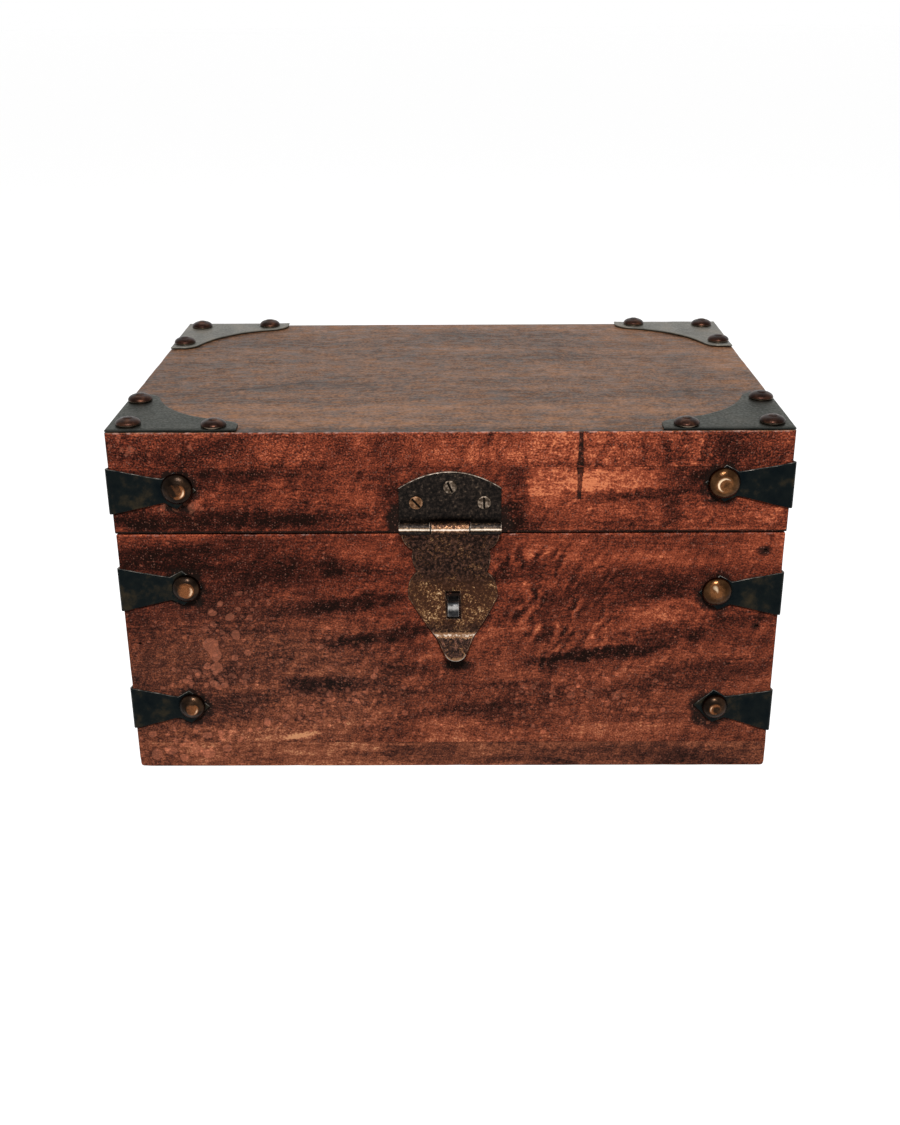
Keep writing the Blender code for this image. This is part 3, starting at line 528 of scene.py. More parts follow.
def addFlecks(tree, spot, tint, flecks):
    # grains of bare metal, thickest on the lobe between the listed heights
    up = addNode(tree, "SeparateXYZ", {0: spot}).outputs[2]
    lobe = times(tree, fade(tree, up, flecks["from"] * mm, flecks["full"] * mm),
                 fade(tree, up, flecks["end"] * mm, flecks["last"] * mm))
    tint = mixColour(tree, times(tree, lobe, flecks["groundShare"]), tint, colour(*flecks["ground"]))
    dense = work(tree, "SUBTRACT", cloud(tree, spot, flecks["drift"], 3.0), 0.5)
    grains = plus(tree, cloud(tree, spot, flecks["scale"], 3.0, 0.75), times(tree, dense, flecks["uneven"]))
    grains = plus(tree, grains, times(tree, lobe, flecks["many"]))
    thick = fade(tree, lobe, 0.0, 1.0, flecks["elsewhere"], 1.0)
    for tone, low, high in flecks["tones"]:
        shown = times(tree, fade(tree, grains, low, high), thick)
        tint = mixColour(tree, times(tree, shown, flecks["share"]), tint, colour(*tone))
    return tint, shown


def makeMetal(name, changes):
    look = {**plainMetal, **changes}
    material, tree, shader, spot = startMaterial(name)
    patina = useGroup(tree, mottle, {"Vector": spot, "Scale": look["scale"]})
    tint = ramp(tree, patina["Tone"], look["stops"])
    height = plus(tree, times(tree, patina["Grit"], metalRelief["grit"]), patina["Tone"])
    if look["flecks"]:
        tint, shown = addFlecks(tree, spot, tint, look["flecks"])
        height = plus(tree, height, times(tree, shown, metalRelief["flecks"]))
    # worn metal, painted highlights and painted shading, from the piece's own attribute
    brightened = useGroup(tree, worn, {"Vector": spot, "Scale": look["wornScale"], "Ragged": look["ragged"],
                                   "WearAndPaintedLight": attribute(tree, "wearAndPaintedLight")})
    polish = fade(tree, patina["Grit"], *metalRelief["polish"])
    wornAndLitTint = mixColour(tree, 1.0, colour(*look["worn"]), polish, "MULTIPLY")
    tint = mixColour(tree, brightened["Mask"], tint, wornAndLitTint)
    tint = mixColour(tree, brightened["Glint"], tint, colour(*look["glint"]))
    tree.links.new(tint, shader.inputs["Base Color"])
    dull = work(tree, "SUBTRACT", patina["Grit"], times(tree, brightened["Mask"], metalRelief["smoother"]))
    rough = fade(tree, dull, *metalRelief["dull"], *look["rough"])
    tree.links.new(rough, shader.inputs["Roughness"])
    shader.inputs["Metallic"].default_value = look["metallic"]
    shader.inputs["Specular Tint"].default_value = colour(*look["tinge"])
    addBump(tree, shader, height, look["bump"], metalRelief["deep"])
    return material


haspFlecks = {"from": 103.0, "full": 92.0, "last": 80.0, "end": 72.0, "drift": 150.0, "uneven": 0.50,
              "many": 0.08, "scale": 1200.0, "ground": (0.042, 0.017, 0.009), "groundShare": 0.7,
              "elsewhere": 0.5, "share": 0.85,
              "tones": [((0.085, 0.034, 0.016), 0.56, 0.64), ((0.27, 0.145, 0.062), 0.65, 0.73),
                        ((0.72, 0.51, 0.31), 0.74, 0.84)]}
# each finish has its material's name and what differs from plain metal
metalLooks = {
    "strap": ("blackStrapIron", {}),
    "plate": ("greyPlateIron", {
        "stops": [(0.3, (0.010, 0.011, 0.010)), (0.5, (0.017, 0.018, 0.016)), (0.72, (0.034, 0.031, 0.026))],
        "scale": 60.0, "tinge": (0.94, 0.95, 0.91), "rough": (0.34, 0.54)}),
    # a paler copy of the plate iron: painted sheen for the back plates, seen at a more grazing angle
    "backPlate": ("backPlatePaintedSheen", {
        "stops": [(0.3, (0.076, 0.074, 0.063)), (0.5, (0.130, 0.124, 0.105)), (0.72, (0.185, 0.160, 0.126))],
        "scale": 60.0}),
    # pale cut edge: bare metal with a painted highlight
    "bareLitEdge": ("bareCutEdgeHighlight", {
        "stops": [(0.38, (0.02, 0.02, 0.02)), (0.52, (0.10, 0.09, 0.08)), (0.66, (0.26, 0.23, 0.20))],
        "scale": 300.0}),
    "darkNail": ("darkNailHead", {
        "stops": [(0.3, (0.006, 0.004, 0.003)), (0.5, (0.015, 0.009, 0.006)), (0.7, (0.046, 0.024, 0.013))],
        "scale": 200.0, "worn": (0.190, 0.070, 0.027), "glint": (0.74, 0.50, 0.32),
        "rough": (0.17, 0.34)}),
    "brassNail": ("brassNailHead", {
        "stops": [(0.3, (0.018, 0.008, 0.004)), (0.5, (0.038, 0.017, 0.007)), (0.7, (0.085, 0.040, 0.017))],
        "scale": 200.0, "worn": (0.175, 0.070, 0.026), "glint": (0.74, 0.54, 0.35),
        "rough": (0.16, 0.32)}),
    "plateNail": ("blackNailHead", {
        "stops": [(0.3, (0.008, 0.004, 0.003)), (0.5, (0.022, 0.010, 0.007)), (0.7, (0.075, 0.032, 0.018))],
        "scale": 200.0, "worn": (0.15, 0.115, 0.085), "rough": (0.26, 0.46)}),
    "leaf": ("blackHaspLeaf", {
        "stops": [(0.30, (0.004, 0.004, 0.004)), (0.48, (0.010, 0.008, 0.007)),
                  (0.62, (0.026, 0.019, 0.015)), (0.74, (0.110, 0.075, 0.050))],
        "scale": 800.0, "worn": (0.26, 0.165, 0.10), "wornScale": 900.0, "ragged": 1.6,
        "glint": (0.84, 0.73, 0.60), "rough": (0.32, 0.52)}),
    "hasp": ("patinatedHasp", {
        "stops": [(0.32, (0.004, 0.003, 0.003)), (0.5, (0.016, 0.009, 0.007)),
                  (0.66, (0.080, 0.037, 0.025))],
        "scale": 700.0, "worn": (0.255, 0.130, 0.066), "wornScale": 900.0, "ragged": 2.0,
        "glint": (0.80, 0.65, 0.53), "flecks": haspFlecks, "rough": (0.30, 0.52), "bump": 0.5}),
    "haspEdge": ("haspCutEdge", {
        "stops": [(0.38, (0.014, 0.009, 0.006)), (0.52, (0.075, 0.046, 0.030)), (0.64, (0.24, 0.15, 0.10))],
        "scale": 420.0}),
    # pale arch edge: a painted highlight along the leaf's top
    "archEdge": ("haspArchEdge", {
        "stops": [(0.36, (0.06, 0.045, 0.035)), (0.50, (0.24, 0.19, 0.15)), (0.64, (0.52, 0.43, 0.35))],
        "scale": 420.0}),
    "steel": ("wornSteel", {
        "stops": [(0.3, (0.008, 0.008, 0.008)), (0.5, (0.022, 0.022, 0.023)), (0.7, (0.07, 0.067, 0.065))],
        "scale": 240.0, "worn": (0.42, 0.40, 0.38)}),
    "copperScrew": ("copperScrewHead", {
        "stops": [(0.34, (0.050, 0.024, 0.012)), (0.5, (0.140, 0.070, 0.034)), (0.66, (0.34, 0.20, 0.12))],
        "scale": 620.0}),
    "greyScrew": ("greyScrewHead", {
        "stops": [(0.36, (0.024, 0.016, 0.011)), (0.5, (0.085, 0.062, 0.044)), (0.64, (0.30, 0.235, 0.18))],
        "scale": 620.0}),
    # a near-black finish for the slot's floor: painted shade
    "slotShade": ("paintedSlotShade", {"stops": [(0.3, (0.004, 0.003, 0.003)), (0.6, (0.012, 0.009, 0.007))],
                              "rough": (0.7, 0.9)}),
}
metals = {finish: makeMetal(name, look) for finish, (name, look) in metalLooks.items()}
print("metals mixed:", len(metals))


# Mesh tools

def toData(name, mesh):
    data = bpy.data.meshes.new(name)
    mesh.to_mesh(data)
    mesh.free()
    return data


def finishPiece(name, mesh, materials, body, nodes=(), crisp=35):
    bmesh.ops.recalc_face_normals(mesh, faces=mesh.faces[:])
    data = toData(name, mesh)
    for material in materials:
        data.materials.append(material)
    data.shade_smooth()
    data.set_sharp_from_angle(angle=radians(crisp))
    piece = newObject(name, data)
    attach(piece, body)
    if nodes:
        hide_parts(*nodes)


def middleOf(node):
    low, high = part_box(node)
    return (low + high) / 2


def roundEdges(mesh, edges, size, steps):
    bmesh.ops.bevel(mesh, geom=edges, offset=size, offset_type="OFFSET", segments=steps, profile=0.5,
                    affect="EDGES", material=-1)


def extrudeUp(mesh, faces, height):
    grown = bmesh.ops.extrude_face_region(mesh, geom=faces)["geom"]
    moved = [part for part in grown if isinstance(part, bmesh.types.BMVert)]
    bmesh.ops.translate(mesh, vec=(0.0, 0.0, height), verts=moved)
    return moved


def cutAt(mesh, axis, places):
    normal = Vector((0.0, 0.0, 0.0))
    normal[axis] = 1.0
    for place in places:
        bmesh.ops.bisect_plane(mesh, geom=mesh.verts[:] + mesh.edges[:] + mesh.faces[:], dist=1e-7,
                               plane_co=normal * place, plane_no=normal)


def evenSteps(start, end, step):
    count = max(1, round(abs(end - start) / step))
    return [start + (end - start) * number / count for number in range(count + 1)]


def curvePoints(start, control, end, steps):
    # points of a quadratic curve after its start
    points = []
    for number in range(1, steps + 1):
        ahead = number / steps
        back = 1 - ahead
        points.append(tuple(back * back * start[i] + 2 * back * ahead * control[i] + ahead * ahead * end[i]
                            for i in (0, 1)))
    return points


def mirrored(points):
    return [(-across, up) for across, up in reversed(points)]


def cutSheet(outline, thick, cutsAcross, cutsUp, rim, opening=None):
    # a flat sheet in millimetres, its third coordinate the depth; its cut edges take the second material
    mesh = bmesh.new()
    mesh.faces.new([mesh.verts.new((across, up, 0.0)) for across, up in outline])
    cutAt(mesh, 0, cutsAcross)
    cutAt(mesh, 1, cutsUp)
    bmesh.ops.remove_doubles(mesh, verts=mesh.verts[:], dist=0.22)
    if opening:
        (left, low), (right, high) = opening
        inside = [face for face in mesh.faces if left < face.calc_center_median().x < right
                  and low < face.calc_center_median().y < high]
        bmesh.ops.delete(mesh, geom=inside, context="FACES")
    extrudeUp(mesh, mesh.faces[:], thick)
    bmesh.ops.recalc_face_normals(mesh, faces=mesh.faces[:])
    lips = [edge for edge in mesh.edges if edge.verts[0].co.z == edge.verts[1].co.z
            and any(abs(face.normal.z) < 0.5 for face in edge.link_faces)]
    roundEdges(mesh, lips, rim, 2)
    for face in mesh.faces:
        face.normal_update()
        face.material_index = 0 if abs(face.normal.z) > 0.97 else 1
    return mesh


def dullRims(mesh, kept):
    # only the cut edges that face a kept direction stay bare: a painted highlight where light falls on them
    mesh.normal_update()
    for face in mesh.faces:
        if face.material_index == 1 and face.normal.dot(Vector(kept)) < 0.25:
            face.material_index = 0


def bendTo(mesh, shape):
    for vert in mesh.verts:
        vert.co = shape(*vert.co)


def turned(profile, steps):
    # a turned form round Z, its profile in millimetres from the axis, round the outside, back to the axis
    mesh = bmesh.new()
    points = [mesh.verts.new((radius * mm, 0.0, height * mm)) for radius, height in profile]
    edges = [mesh.edges.new(pair) for pair in zip(points, points[1:])]
    bmesh.ops.spin(mesh, geom=points + edges, cent=(0, 0, 0), axis=(0, 0, 1), angle=2 * pi, steps=steps,
                   use_merge=True)
    bmesh.ops.remove_doubles(mesh, verts=mesh.verts[:], dist=1e-7)
    return mesh


def standOn(mesh, seat, normal, spin=0.0):
    turn = Vector((0, 0, 1)).rotation_difference(Vector(normal)).to_matrix()
    bmesh.ops.rotate(mesh, cent=(0, 0, 0), matrix=Matrix.Rotation(spin, 3, "Z"), verts=mesh.verts)
    bmesh.ops.rotate(mesh, cent=(0, 0, 0), matrix=turn, verts=mesh.verts)
    bmesh.ops.translate(mesh, vec=seat, verts=mesh.verts)


# Boards, with worn corners, dents, the marks of use, painted shade and a painted edge highlight

# the rim strengths and reach set the painted highlight along the front's top edges
boardShape = {"round": 0.55, "steps": 4, "near": (0.85, 1.5, 2.3, 3.4, 5.5), "cell": 7.0, "joint": 0.14,
              "skin": 3.0, "corner": {"lid": 2.0, "base": 2.6}, "cornerTop": 5.0, "wave": 0.12,
              "waveScale": 24.0, "nick": 0.5, "nickScale": 90.0, "nickFrom": 0.25, "nickReach": 2.0,
              "nickSkin": 0.7, "edgeReach": 4.0, "rim": {"lid": 1.0, "base": 0.6}, "rimHighlightReach": 0.6,
              "frontSkin": 0.3}
# grime and painted shade: full within the first reach and gone beyond the second; the lid's seam has a
# painted shadow line and its top edge a dark line
grimeAndShadeShape = {"nail": (7.5, 14.0), "barrel": (4.0, 9.0), "barrelStep": 6.0, "barrelRise": 4.0, "most": 0.9,
              "seam": 1.0, "topSkin": 0.1, "topLine": (0.7, 1.6), "topDark": 0.8}
gouge = {"across": 57.0, "low": 134.0, "widest": 151.0, "swell": 5.0, "thin": 1.05, "wide": 1.75,
         "deep": 1.2, "shallow": 0.4, "dark": 2.0, "wander": 0.35, "wanderScale": 0.3, "field": 1.8,
         "cell": 0.3}
gougeNodes = ("lid_top_board", "lid_front_rail")
pinHoles = {"spots": [(141.0, 111.0), (140.0, 73.5), (-143.5, 65.5)], "radius": 0.8, "deep": 1.0,
            "reach": (6.0, 2.4, 1.4)}

bodyBoxes = {"base": (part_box("base_bottom_board")[0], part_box("base_front_board")[1]),
             "lid": (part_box("lid_front_rail")[0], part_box("lid_top_board")[1])}
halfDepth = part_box("lid_top_board")[1].y
bodyBoxes["base"][1].y = halfDepth


def onSkin(spot, box, reach=1e-5):
    # how many outer planes of its body a point lies on
    return sum(min(abs(spot[i] - box[0][i]), abs(spot[i] - box[1][i])) < reach for i in range(3))


def grimeAndShadeSpots():
    # grime with painted shade gathers round the strap nails, and painted shade lies behind the hasp's
    # barrel: place, full within, gone beyond
    nailNear, nailFar = (reach * mm for reach in grimeAndShadeShape["nail"])
    spots = [(middleOf(node), nailNear, nailFar) for node in frame["nodes"] if "strap_nail" in node]
    near, far = (reach * mm for reach in grimeAndShadeShape["barrel"])
    low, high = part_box("hasp_pin")
    for across in evenSteps(low.x, high.x, grimeAndShadeShape["barrelStep"] * mm):
        spots.append((Vector((across, -halfDepth, low.z + grimeAndShadeShape["barrelRise"] * mm)), near, far))
    return spots


grimeAndShadePlaces = grimeAndShadeSpots()


def makeBoard(node, skin, inner, edge=None):
    low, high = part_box(node)
    body = bodyOf[node]
    box = bodyBoxes[body]
    for i in range(3):    # joints between boards close to a hair
        low[i] -= boardShape["joint"] * mm * (low[i] - box[0][i] > mm)
        high[i] += boardShape["joint"] * mm * (box[1][i] - high[i] > mm)
    mesh = bmesh.new()
    bmesh.ops.create_cube(mesh, size=1.0)
    bmesh.ops.scale(mesh, vec=high - low, verts=mesh.verts)
    bmesh.ops.translate(mesh, vec=(low + high) / 2, verts=mesh.verts)
    outer = [line for line in mesh.edges if onSkin((line.verts[0].co + line.verts[1].co) / 2, box) > 1]
    roundEdges(mesh, outer, boardShape["round"] * mm, boardShape["steps"])
    for axis in range(3):
        near = [gap * mm for gap in boardShape["near"] if gap * mm < (high[axis] - low[axis]) / 2]
        middle = evenSteps(low[axis] + near[-1], high[axis] - near[-1], boardShape["cell"] * mm)
        cutAt(mesh, axis, [low[axis] + gap for gap in near] + [high[axis] - gap for gap in near] + middle)
    if node in gougeNodes:
        left, right = (gouge["across"] + way * gouge["field"] for way in (-1, 1))
        cutAt(mesh, 0, evenSteps(left * mm, right * mm, gouge["cell"] * mm))
    if node == "base_front_board":
        openPinHoles(mesh, low.y)
    mesh.normal_update()
    wearBoard(mesh, node, low, box)
    for face in mesh.faces:
        hidden = onSkin(face.calc_center_median(), box, boardShape["skin"] * mm) == 0
        face.material_index = 1 if hidden else 0
        if edge and face.normal.z < 0.6 and not hidden:
            face.material_index = 2
    used = [woods[finish] for finish in (skin, inner, edge) if finish]
    finishPiece("fine_" + node, mesh, used, body, [node], crisp=40)


def openPinHoles(mesh, front):
    for across, up in pinHoles["spots"]:
        centre = Vector((across * mm, front, up * mm))
        for reach in pinHoles["reach"]:
            near = [face for face in mesh.faces if face.normal.y < -0.9
                    and (face.calc_center_median() - centre).length < reach * mm]
            lines = {line for face in near for line in face.edges}
            bmesh.ops.subdivide_edges(mesh, edges=list(lines), cuts=2, use_grid_fill=True)


def wearBoard(mesh, node, low, box):
    edgeLayer = mesh.verts.layers.float.new("edge")
    grimeAndShadeLayer = mesh.verts.layers.float.new("grimeAndShade")
    rimHighlightLayer = mesh.verts.layers.float.new("rim")
    body = bodyOf[node]
    lid = body == "lid"
    lineNear, lineFar = (gap * mm for gap in grimeAndShadeShape["topLine"])
    nickReach = boardShape["nickReach"] * mm
    rimHighlightReach = boardShape["rimHighlightReach"] * mm
    moves = []
    for vert in mesh.verts:
        spot = vert.co.copy()
        inside = [min(spot[i] - box[0][i], box[1][i] - spot[i]) for i in range(3)]
        gaps = sorted(inside)
        vert[edgeLayer] = max(0.0, 1 - gaps[1] / (boardShape["edgeReach"] * mm)) if gaps[0] < mm else 0.0
        # grime with painted shade near the nails, and painted shade behind the barrel
        soilAndShade = max((far - (spot - place).length) / (far - near) for place, near, far in grimeAndShadePlaces)
        soilAndShade = max(0.0, min(1.0, soilAndShade)) * grimeAndShadeShape["most"]
        sink = boardShape["wave"] * mm * (noise.noise(spot * boardShape["waveScale"]) + 1) / 2
        rough = noise.noise(spot * boardShape["nickScale"] + Vector((7, 3, 1)))
        nick = max(0.0, rough - boardShape["nickFrom"])
        if gaps[0] < boardShape["nickSkin"] * mm and gaps[1] < nickReach:
            sink += boardShape["nick"] * mm * nick * (1 - gaps[1] / nickReach)
        depth, dark = markDepth(spot, node, low)
        # a painted shadow line along the lid's lower edge, over the seam
        if lid and spot.z < box[0].z + grimeAndShadeShape["seam"] * mm:
            dark = 1.0
        if lid and box[1].z - spot.z < grimeAndShadeShape["topSkin"] * mm and lineNear < inside[1] < lineFar:
            dark = grimeAndShadeShape["topDark"]
        vert[grimeAndShadeLayer] = max(soilAndShade, dark)
        # rim: a painted highlight along the front's top edges
        vert[rimHighlightLayer] = boardShape["rim"][body] * (inside[1] < rimHighlightReach and box[1].z - spot.z < rimHighlightReach)
        moves.append((vert, -vert.normal * (sink + depth)))
    for vert, move in moves:
        vert.co += move
    for vert in mesh.verts:
        if lid or vert.co.z < boardShape["cornerTop"] * mm:
            roundCorner(vert, box, (0, 1) if lid else (0, 2), boardShape["corner"][body] * mm)


def markDepth(spot, node, low):
    # how deep the gouge or a pin hole is at a point of the front, and how dark
    if spot.y > low.y + boardShape["frontSkin"] * mm:
        return 0.0, 0.0
    across, up = spot.x / mm, spot.z / mm
    if node in gougeNodes and up > gouge["low"]:
        swell = exp(-((up - gouge["widest"]) / gouge["swell"]) ** 2)
        half = gouge["thin"] + (gouge["wide"] - gouge["thin"]) * swell
        sway = gouge["wander"] * noise.noise(Vector((0, 0, up * gouge["wanderScale"])))
        off = abs(across - gouge["across"] - sway)
        share = max(0.0, 1 - (off / half) ** 2)
        deep = gouge["deep"] * (gouge["shallow"] + (1 - gouge["shallow"]) * swell)
        return deep * mm * share, min(1.0, gouge["dark"] * share)
    if node == "base_front_board":
        for pinAcross, pinUp in pinHoles["spots"]:
            off = sqrt((across - pinAcross) ** 2 + (up - pinUp) ** 2)
            if off < pinHoles["radius"]:
                return pinHoles["deep"] * mm, 1.0
    return 0.0, 0.0


def roundCorner(vert, box, axes, radius):
    # the lid's upright corners and the base's lower ones are rubbed rounder than the other edges
    gaps = [min(vert.co[i] - box[0][i], box[1][i] - vert.co[i]) for i in axes]
    if max(gaps) > radius:
        return
    short = [radius - gap for gap in gaps]
    far = sqrt(short[0] ** 2 + short[1] ** 2)
    if far < radius:
        return
    for i, over in zip(axes, short):
        outward = 1 if 2 * vert.co[i] > box[0][i] + box[1][i] else -1
        vert.co[i] -= outward * over * (1 - radius / far)


boards = {    # finish outside, finish inside, and the lid's edge
    "base_front_board": ("baseFront", "raw"), "base_back_board": ("baseBack", "raw"),
    "base_left_board": ("side", "rawSide"), "base_right_board": ("side", "rawSide"),
    "base_bottom_board": ("bottom", "raw"),
    "lid_front_rail": ("lidRail", "raw"), "lid_back_rail": ("baseBack", "raw"),
    "lid_left_rail": ("side", "rawSide"), "lid_right_rail": ("side", "rawSide"),
    "lid_top_board": ("lidTop", "raw", "lidEdge"),
}
for node, finishes in boards.items():
    makeBoard(node, *finishes)
print("boards made")


# Dome-headed nails

strapNail = {"radius": 6.2, "height": 4.2, "tip": 2.8, "lip": 0.5, "sink": 0.27, "shank": 1.2, "length": 9.5,
             "point": 2.5, "steps": 48, "dome": 12, "dents": 0.12, "dentScale": 380, "lean": 0.08,
             "dish": -0.3, "crown": (0.0, 0.35, 0.6, 0.8, 0.93), "hollow": 0.5, "rub": 1.0,
             "worn": (2.6, 3.6), "skirt": 0.0, "skirtTop": 0.7, "glint": (60, 0.4, 2.6, 0.5, 3),
             "set": (0, 0), "shade": 0.2, "shadeReach": 2.5, "hollowReach": 0.6, "ease": 0.12, "foot": 0.1,
             "undercut": 0.15, "finish": "darkNail"}
# plate nails carry a painted highlight ring round their skirt
plateNail = {**strapNail, "radius": 5.6, "height": 3.4, "tip": 2.0, "worn": (0.0, 0.1), "skirt": 0.8,
             "finish": "plateNail"}
# a painted glint's bearing from the right in degrees, strength, distance from the axis, width and
# narrowness;
# set is how far inwards and up the nail sits from the middle of its strap's end
frontNails = {
    "lid_strap_nail_left": {"radius": 7.1, "tip": 3.9, "dish": -0.35, "rub": 0.50, "worn": (3.2, 4.4),
                            "glint": (-25, 1.2, 3.5, 0.6, 4), "set": (0.4, 1.7)},
    "upper_strap_nail_left": {"radius": 6.5, "tip": 3.5, "dish": -0.45, "worn": (2.6, 4.8),
                              "glint": (-20, 0.6, 3.2, 0.5, 2), "set": (1.4, 1.3)},
    "lower_strap_nail_left": {"tip": 3.2, "dish": -0.45, "rub": 0.75, "worn": (2.0, 3.9),
                              "glint": (-30, 1.0, 2.9, 0.5, 3), "set": (0.5, 1.7)},
    "lid_strap_nail_right": {"finish": "brassNail", "radius": 7.1, "tip": 3.1, "dish": 0.22,
                             "worn": (1.2, 6.4), "glint": (150, 1.1, 3.0, 0.5, 0.6), "set": (0.3, 1.7)},
    "upper_strap_nail_right": {"finish": "brassNail", "radius": 6.8, "tip": 2.2, "dish": -0.2,
                               "worn": (0.8, 6.2), "glint": (112, 0.85, 3.6, 2.4, 14), "set": (0.6, 1.7)},
    "lower_strap_nail_right": {"radius": 6.0, "tip": 2.6, "dish": 0.15, "hollow": 0.7, "rub": 0.7,
                               "worn": (2.4, 3.3), "glint": (160, 0.7, 2.4, 0.5, 2), "set": (-1.2, 2.8)},
}


def nailProfile(shape):
    # a dome whose crown is worn to a button: hollow where the dish is over 0, rounded where it is under 0
    radius, height, tip, dish = shape["radius"], shape["height"], shape["tip"], shape["dish"]
    top = sqrt(1 - (tip / radius) ** 2)
    profile = []
    for share in shape["crown"]:
        drop = dish * (1 - share ** 4) if dish > 0 else -dish * share ** 2
        profile.append((tip * share, height - drop))
    shoulder = height - shape["ease"] + min(0.0, dish) - shape["lip"]
    for number in range(shape["dome"] + 1):
        rise = top * (1 - number / shape["dome"])
        profile.append((radius * sqrt(1 - rise * rise), shape["lip"] + shoulder * rise / top))
    profile += [(radius, shape["foot"]), (radius - shape["undercut"], -shape["sink"]),
                (shape["shank"], -shape["sink"]), (shape["shank"], shape["point"] - shape["length"]),
                (0.0, -shape["length"])]
    return profile


def makeNail(name, shape, seat, normal, body, node=None):
    mesh = turned(nailProfile(shape), shape["steps"])
    wearAndPaintedLight = mesh.verts.layers.float.new("wearAndPaintedLight")
    seed = Vector(seat) * 300
    spin = noise.noise(seed) * pi
    inner, outer = shape["worn"]
    bearing, power, ringAt, width, narrow = shape["glint"]
    for vert in mesh.verts:
        radius = vert.co.xy.length / mm
        facing = cos(atan2(vert.co.y, vert.co.x) + spin - radians(bearing))
        ring = exp(-((radius - ringAt) / width) ** 2)
        if vert.co.z > 0:
            crown = shape["rub"] * max(0.0, min(1.0, (outer - radius) / (outer - inner)))
            skirt = shape["skirt"] if vert.co.z < shape["skirtTop"] * mm else 0.0
            # painted shading: the crown lighter on its glint's side and darker away from it
            crown *= 1 - shape["shade"] + shape["shade"] * facing * min(1.0, radius / shape["shadeReach"])
            if shape["dish"] > 0:
                crown *= 1 - shape["hollow"] * exp(-(radius / (shape["hollowReach"] * shape["tip"])) ** 2)
            # a painted glint ring on the crown; on plate nails, a painted highlight ring round the skirt
            vert[wearAndPaintedLight] = max(crown + power * ring * ((1 + facing) / 2) ** narrow, skirt)
            dent = noise.noise(vert.co * shape["dentScale"] + seed) * shape["dents"] * mm
            lean = noise.noise(seed) * shape["lean"] * vert.co.x
            vert.co.z += min(0.0, dent) + min(0.0, lean)
    standOn(mesh, seat, normal, spin)
    finishPiece(name, mesh, [metals[shape["finish"]]], body, [node] if node else [], crisp=60)


# Iron straps folded round the upright corners

strapShape = {"thick": 0.8, "gap": 0.3, "half": 10.7, "neckBack": 5.5, "neck": 5.5, "diamond": 8.6,
              "tipAhead": 9.0, "reach": {"lid": 29.8, "upper": 28.4, "lower": 27.2},
              "fold": 1.6, "foldSteps": 8, "rim": 0.2, "cell": 2.5, "cellFrom": 3.0, "cellEnd": 1.2,
              "cutsUp": (-7.0, 7.0, 3.5), "ripple": 0.22, "rippleScale": 0.22, "nailSeat": 1.4,
              "rise": {"lid_left": 0.5, "upper_left": 1.0, "lower_left": 0.8, "lid_right": 1.2,
                       "upper_right": 0.7, "lower_right": 2.5}}


def strapOutline(reach):
    shape = strapShape
    upper = [(0.0, shape["half"]), (reach - shape["neckBack"], shape["neck"]), (reach, shape["diamond"])]
    leaf = upper + [(reach + shape["tipAhead"], 0.0)] + [(along, -half) for along, half in reversed(upper)]
    return leaf + [(-along, half) for along, half in reversed(leaf[1:-1])]


def foldLength():
    return (strapShape["fold"] - strapShape["thick"] / 2) * pi / 2


def foldStrap(across, up, depth):
    # the sheet runs along -X on one face and along +Y on the other, round a soft fold
    shape = strapShape
    outside = shape["gap"] + shape["thick"]
    bow = shape["fold"] - outside
    arc = foldLength()
    out = shape["gap"] + depth
    reach = abs(across)
    if reach > arc / 2:
        along = -bow - (reach - arc / 2)
        place = (along, -out) if across < 0 else (out, -along)
    else:
        angle = pi / 4 + across / arc * pi / 2
        radius = bow + out
        place = (-bow + radius * sin(angle), bow - radius * cos(angle))
    return Vector((place[0], place[1], up)) * mm


def makeStrap(level, corner):
    end, side = corner.split("_")
    node = f"{level}_strap_{corner}"
    body = bodyOf[node]
    edge = Vector((sides[side] * bodyBoxes[body][1].x, ends[end] * halfDepth, middleOf(node).z))
    shape = strapShape
    reach = shape["reach"][level]
    arc = foldLength()
    across = evenSteps(-arc / 2, arc / 2, arc / shape["foldSteps"])
    last = reach + shape["tipAhead"] - shape["cellEnd"]
    for way in (-1, 1):
        across += evenSteps(way * shape["cellFrom"], way * last, shape["cell"])
    up = evenSteps(*shape["cutsUp"])
    mesh = cutSheet(strapOutline(reach), shape["thick"], across, up, shape["rim"])
    seed = edge * 900
    rise = shape["rise"][f"{level}_{side}"] / reach if end == "front" else 0.0    # per length on the front
    for vert in mesh.verts:
        spot = vert.co * shape["rippleScale"] + seed
        vert.co.y += noise.noise(spot) * shape["ripple"] + rise * max(0.0, -sides[side] * vert.co.x)
        vert.co.x += noise.noise(spot + Vector((5, 9, 2))) * shape["ripple"]
    bendTo(mesh, foldStrap)
    standOn(mesh, edge, (0, 0, 1), radians(cornerTurns[corner]))
    # upward cut edges keep the pale edge finish: a painted highlight
    dullRims(mesh, (0, 0, 1))
    finishPiece("fine_" + node, mesh, [metals["strap"], metals["bareLitEdge"]], body, [node], crisp=25)
    faces = {end: (Vector((-sides[side], 0, 0)), Vector((0, ends[end], 0))),
             side: (Vector((0, -ends[end], 0)), Vector((sides[side], 0, 0)))}
    for face, (inward, normal) in faces.items():
        seat = edge + inward * reach * mm + normal * shape["nailSeat"] * mm
        front = f"{level}_strap_nail_{side}" if face == "front" else None
        name = "fine_" + (front or f"{level}_strap_nail_{corner}_{face}")
        nail = {**strapNail, **frontNails.get(front, {})}
        seat += (inward * nail["set"][0] + Vector((0, 0, nail["set"][1]))) * mm
        makeNail(name, nail, seat, normal, body, front)


for corner in cornerTurns:
    for level in ("lid", "upper", "lower"):
        makeStrap(level, corner)
print("straps and their nails made")


# Corner plates on the lid

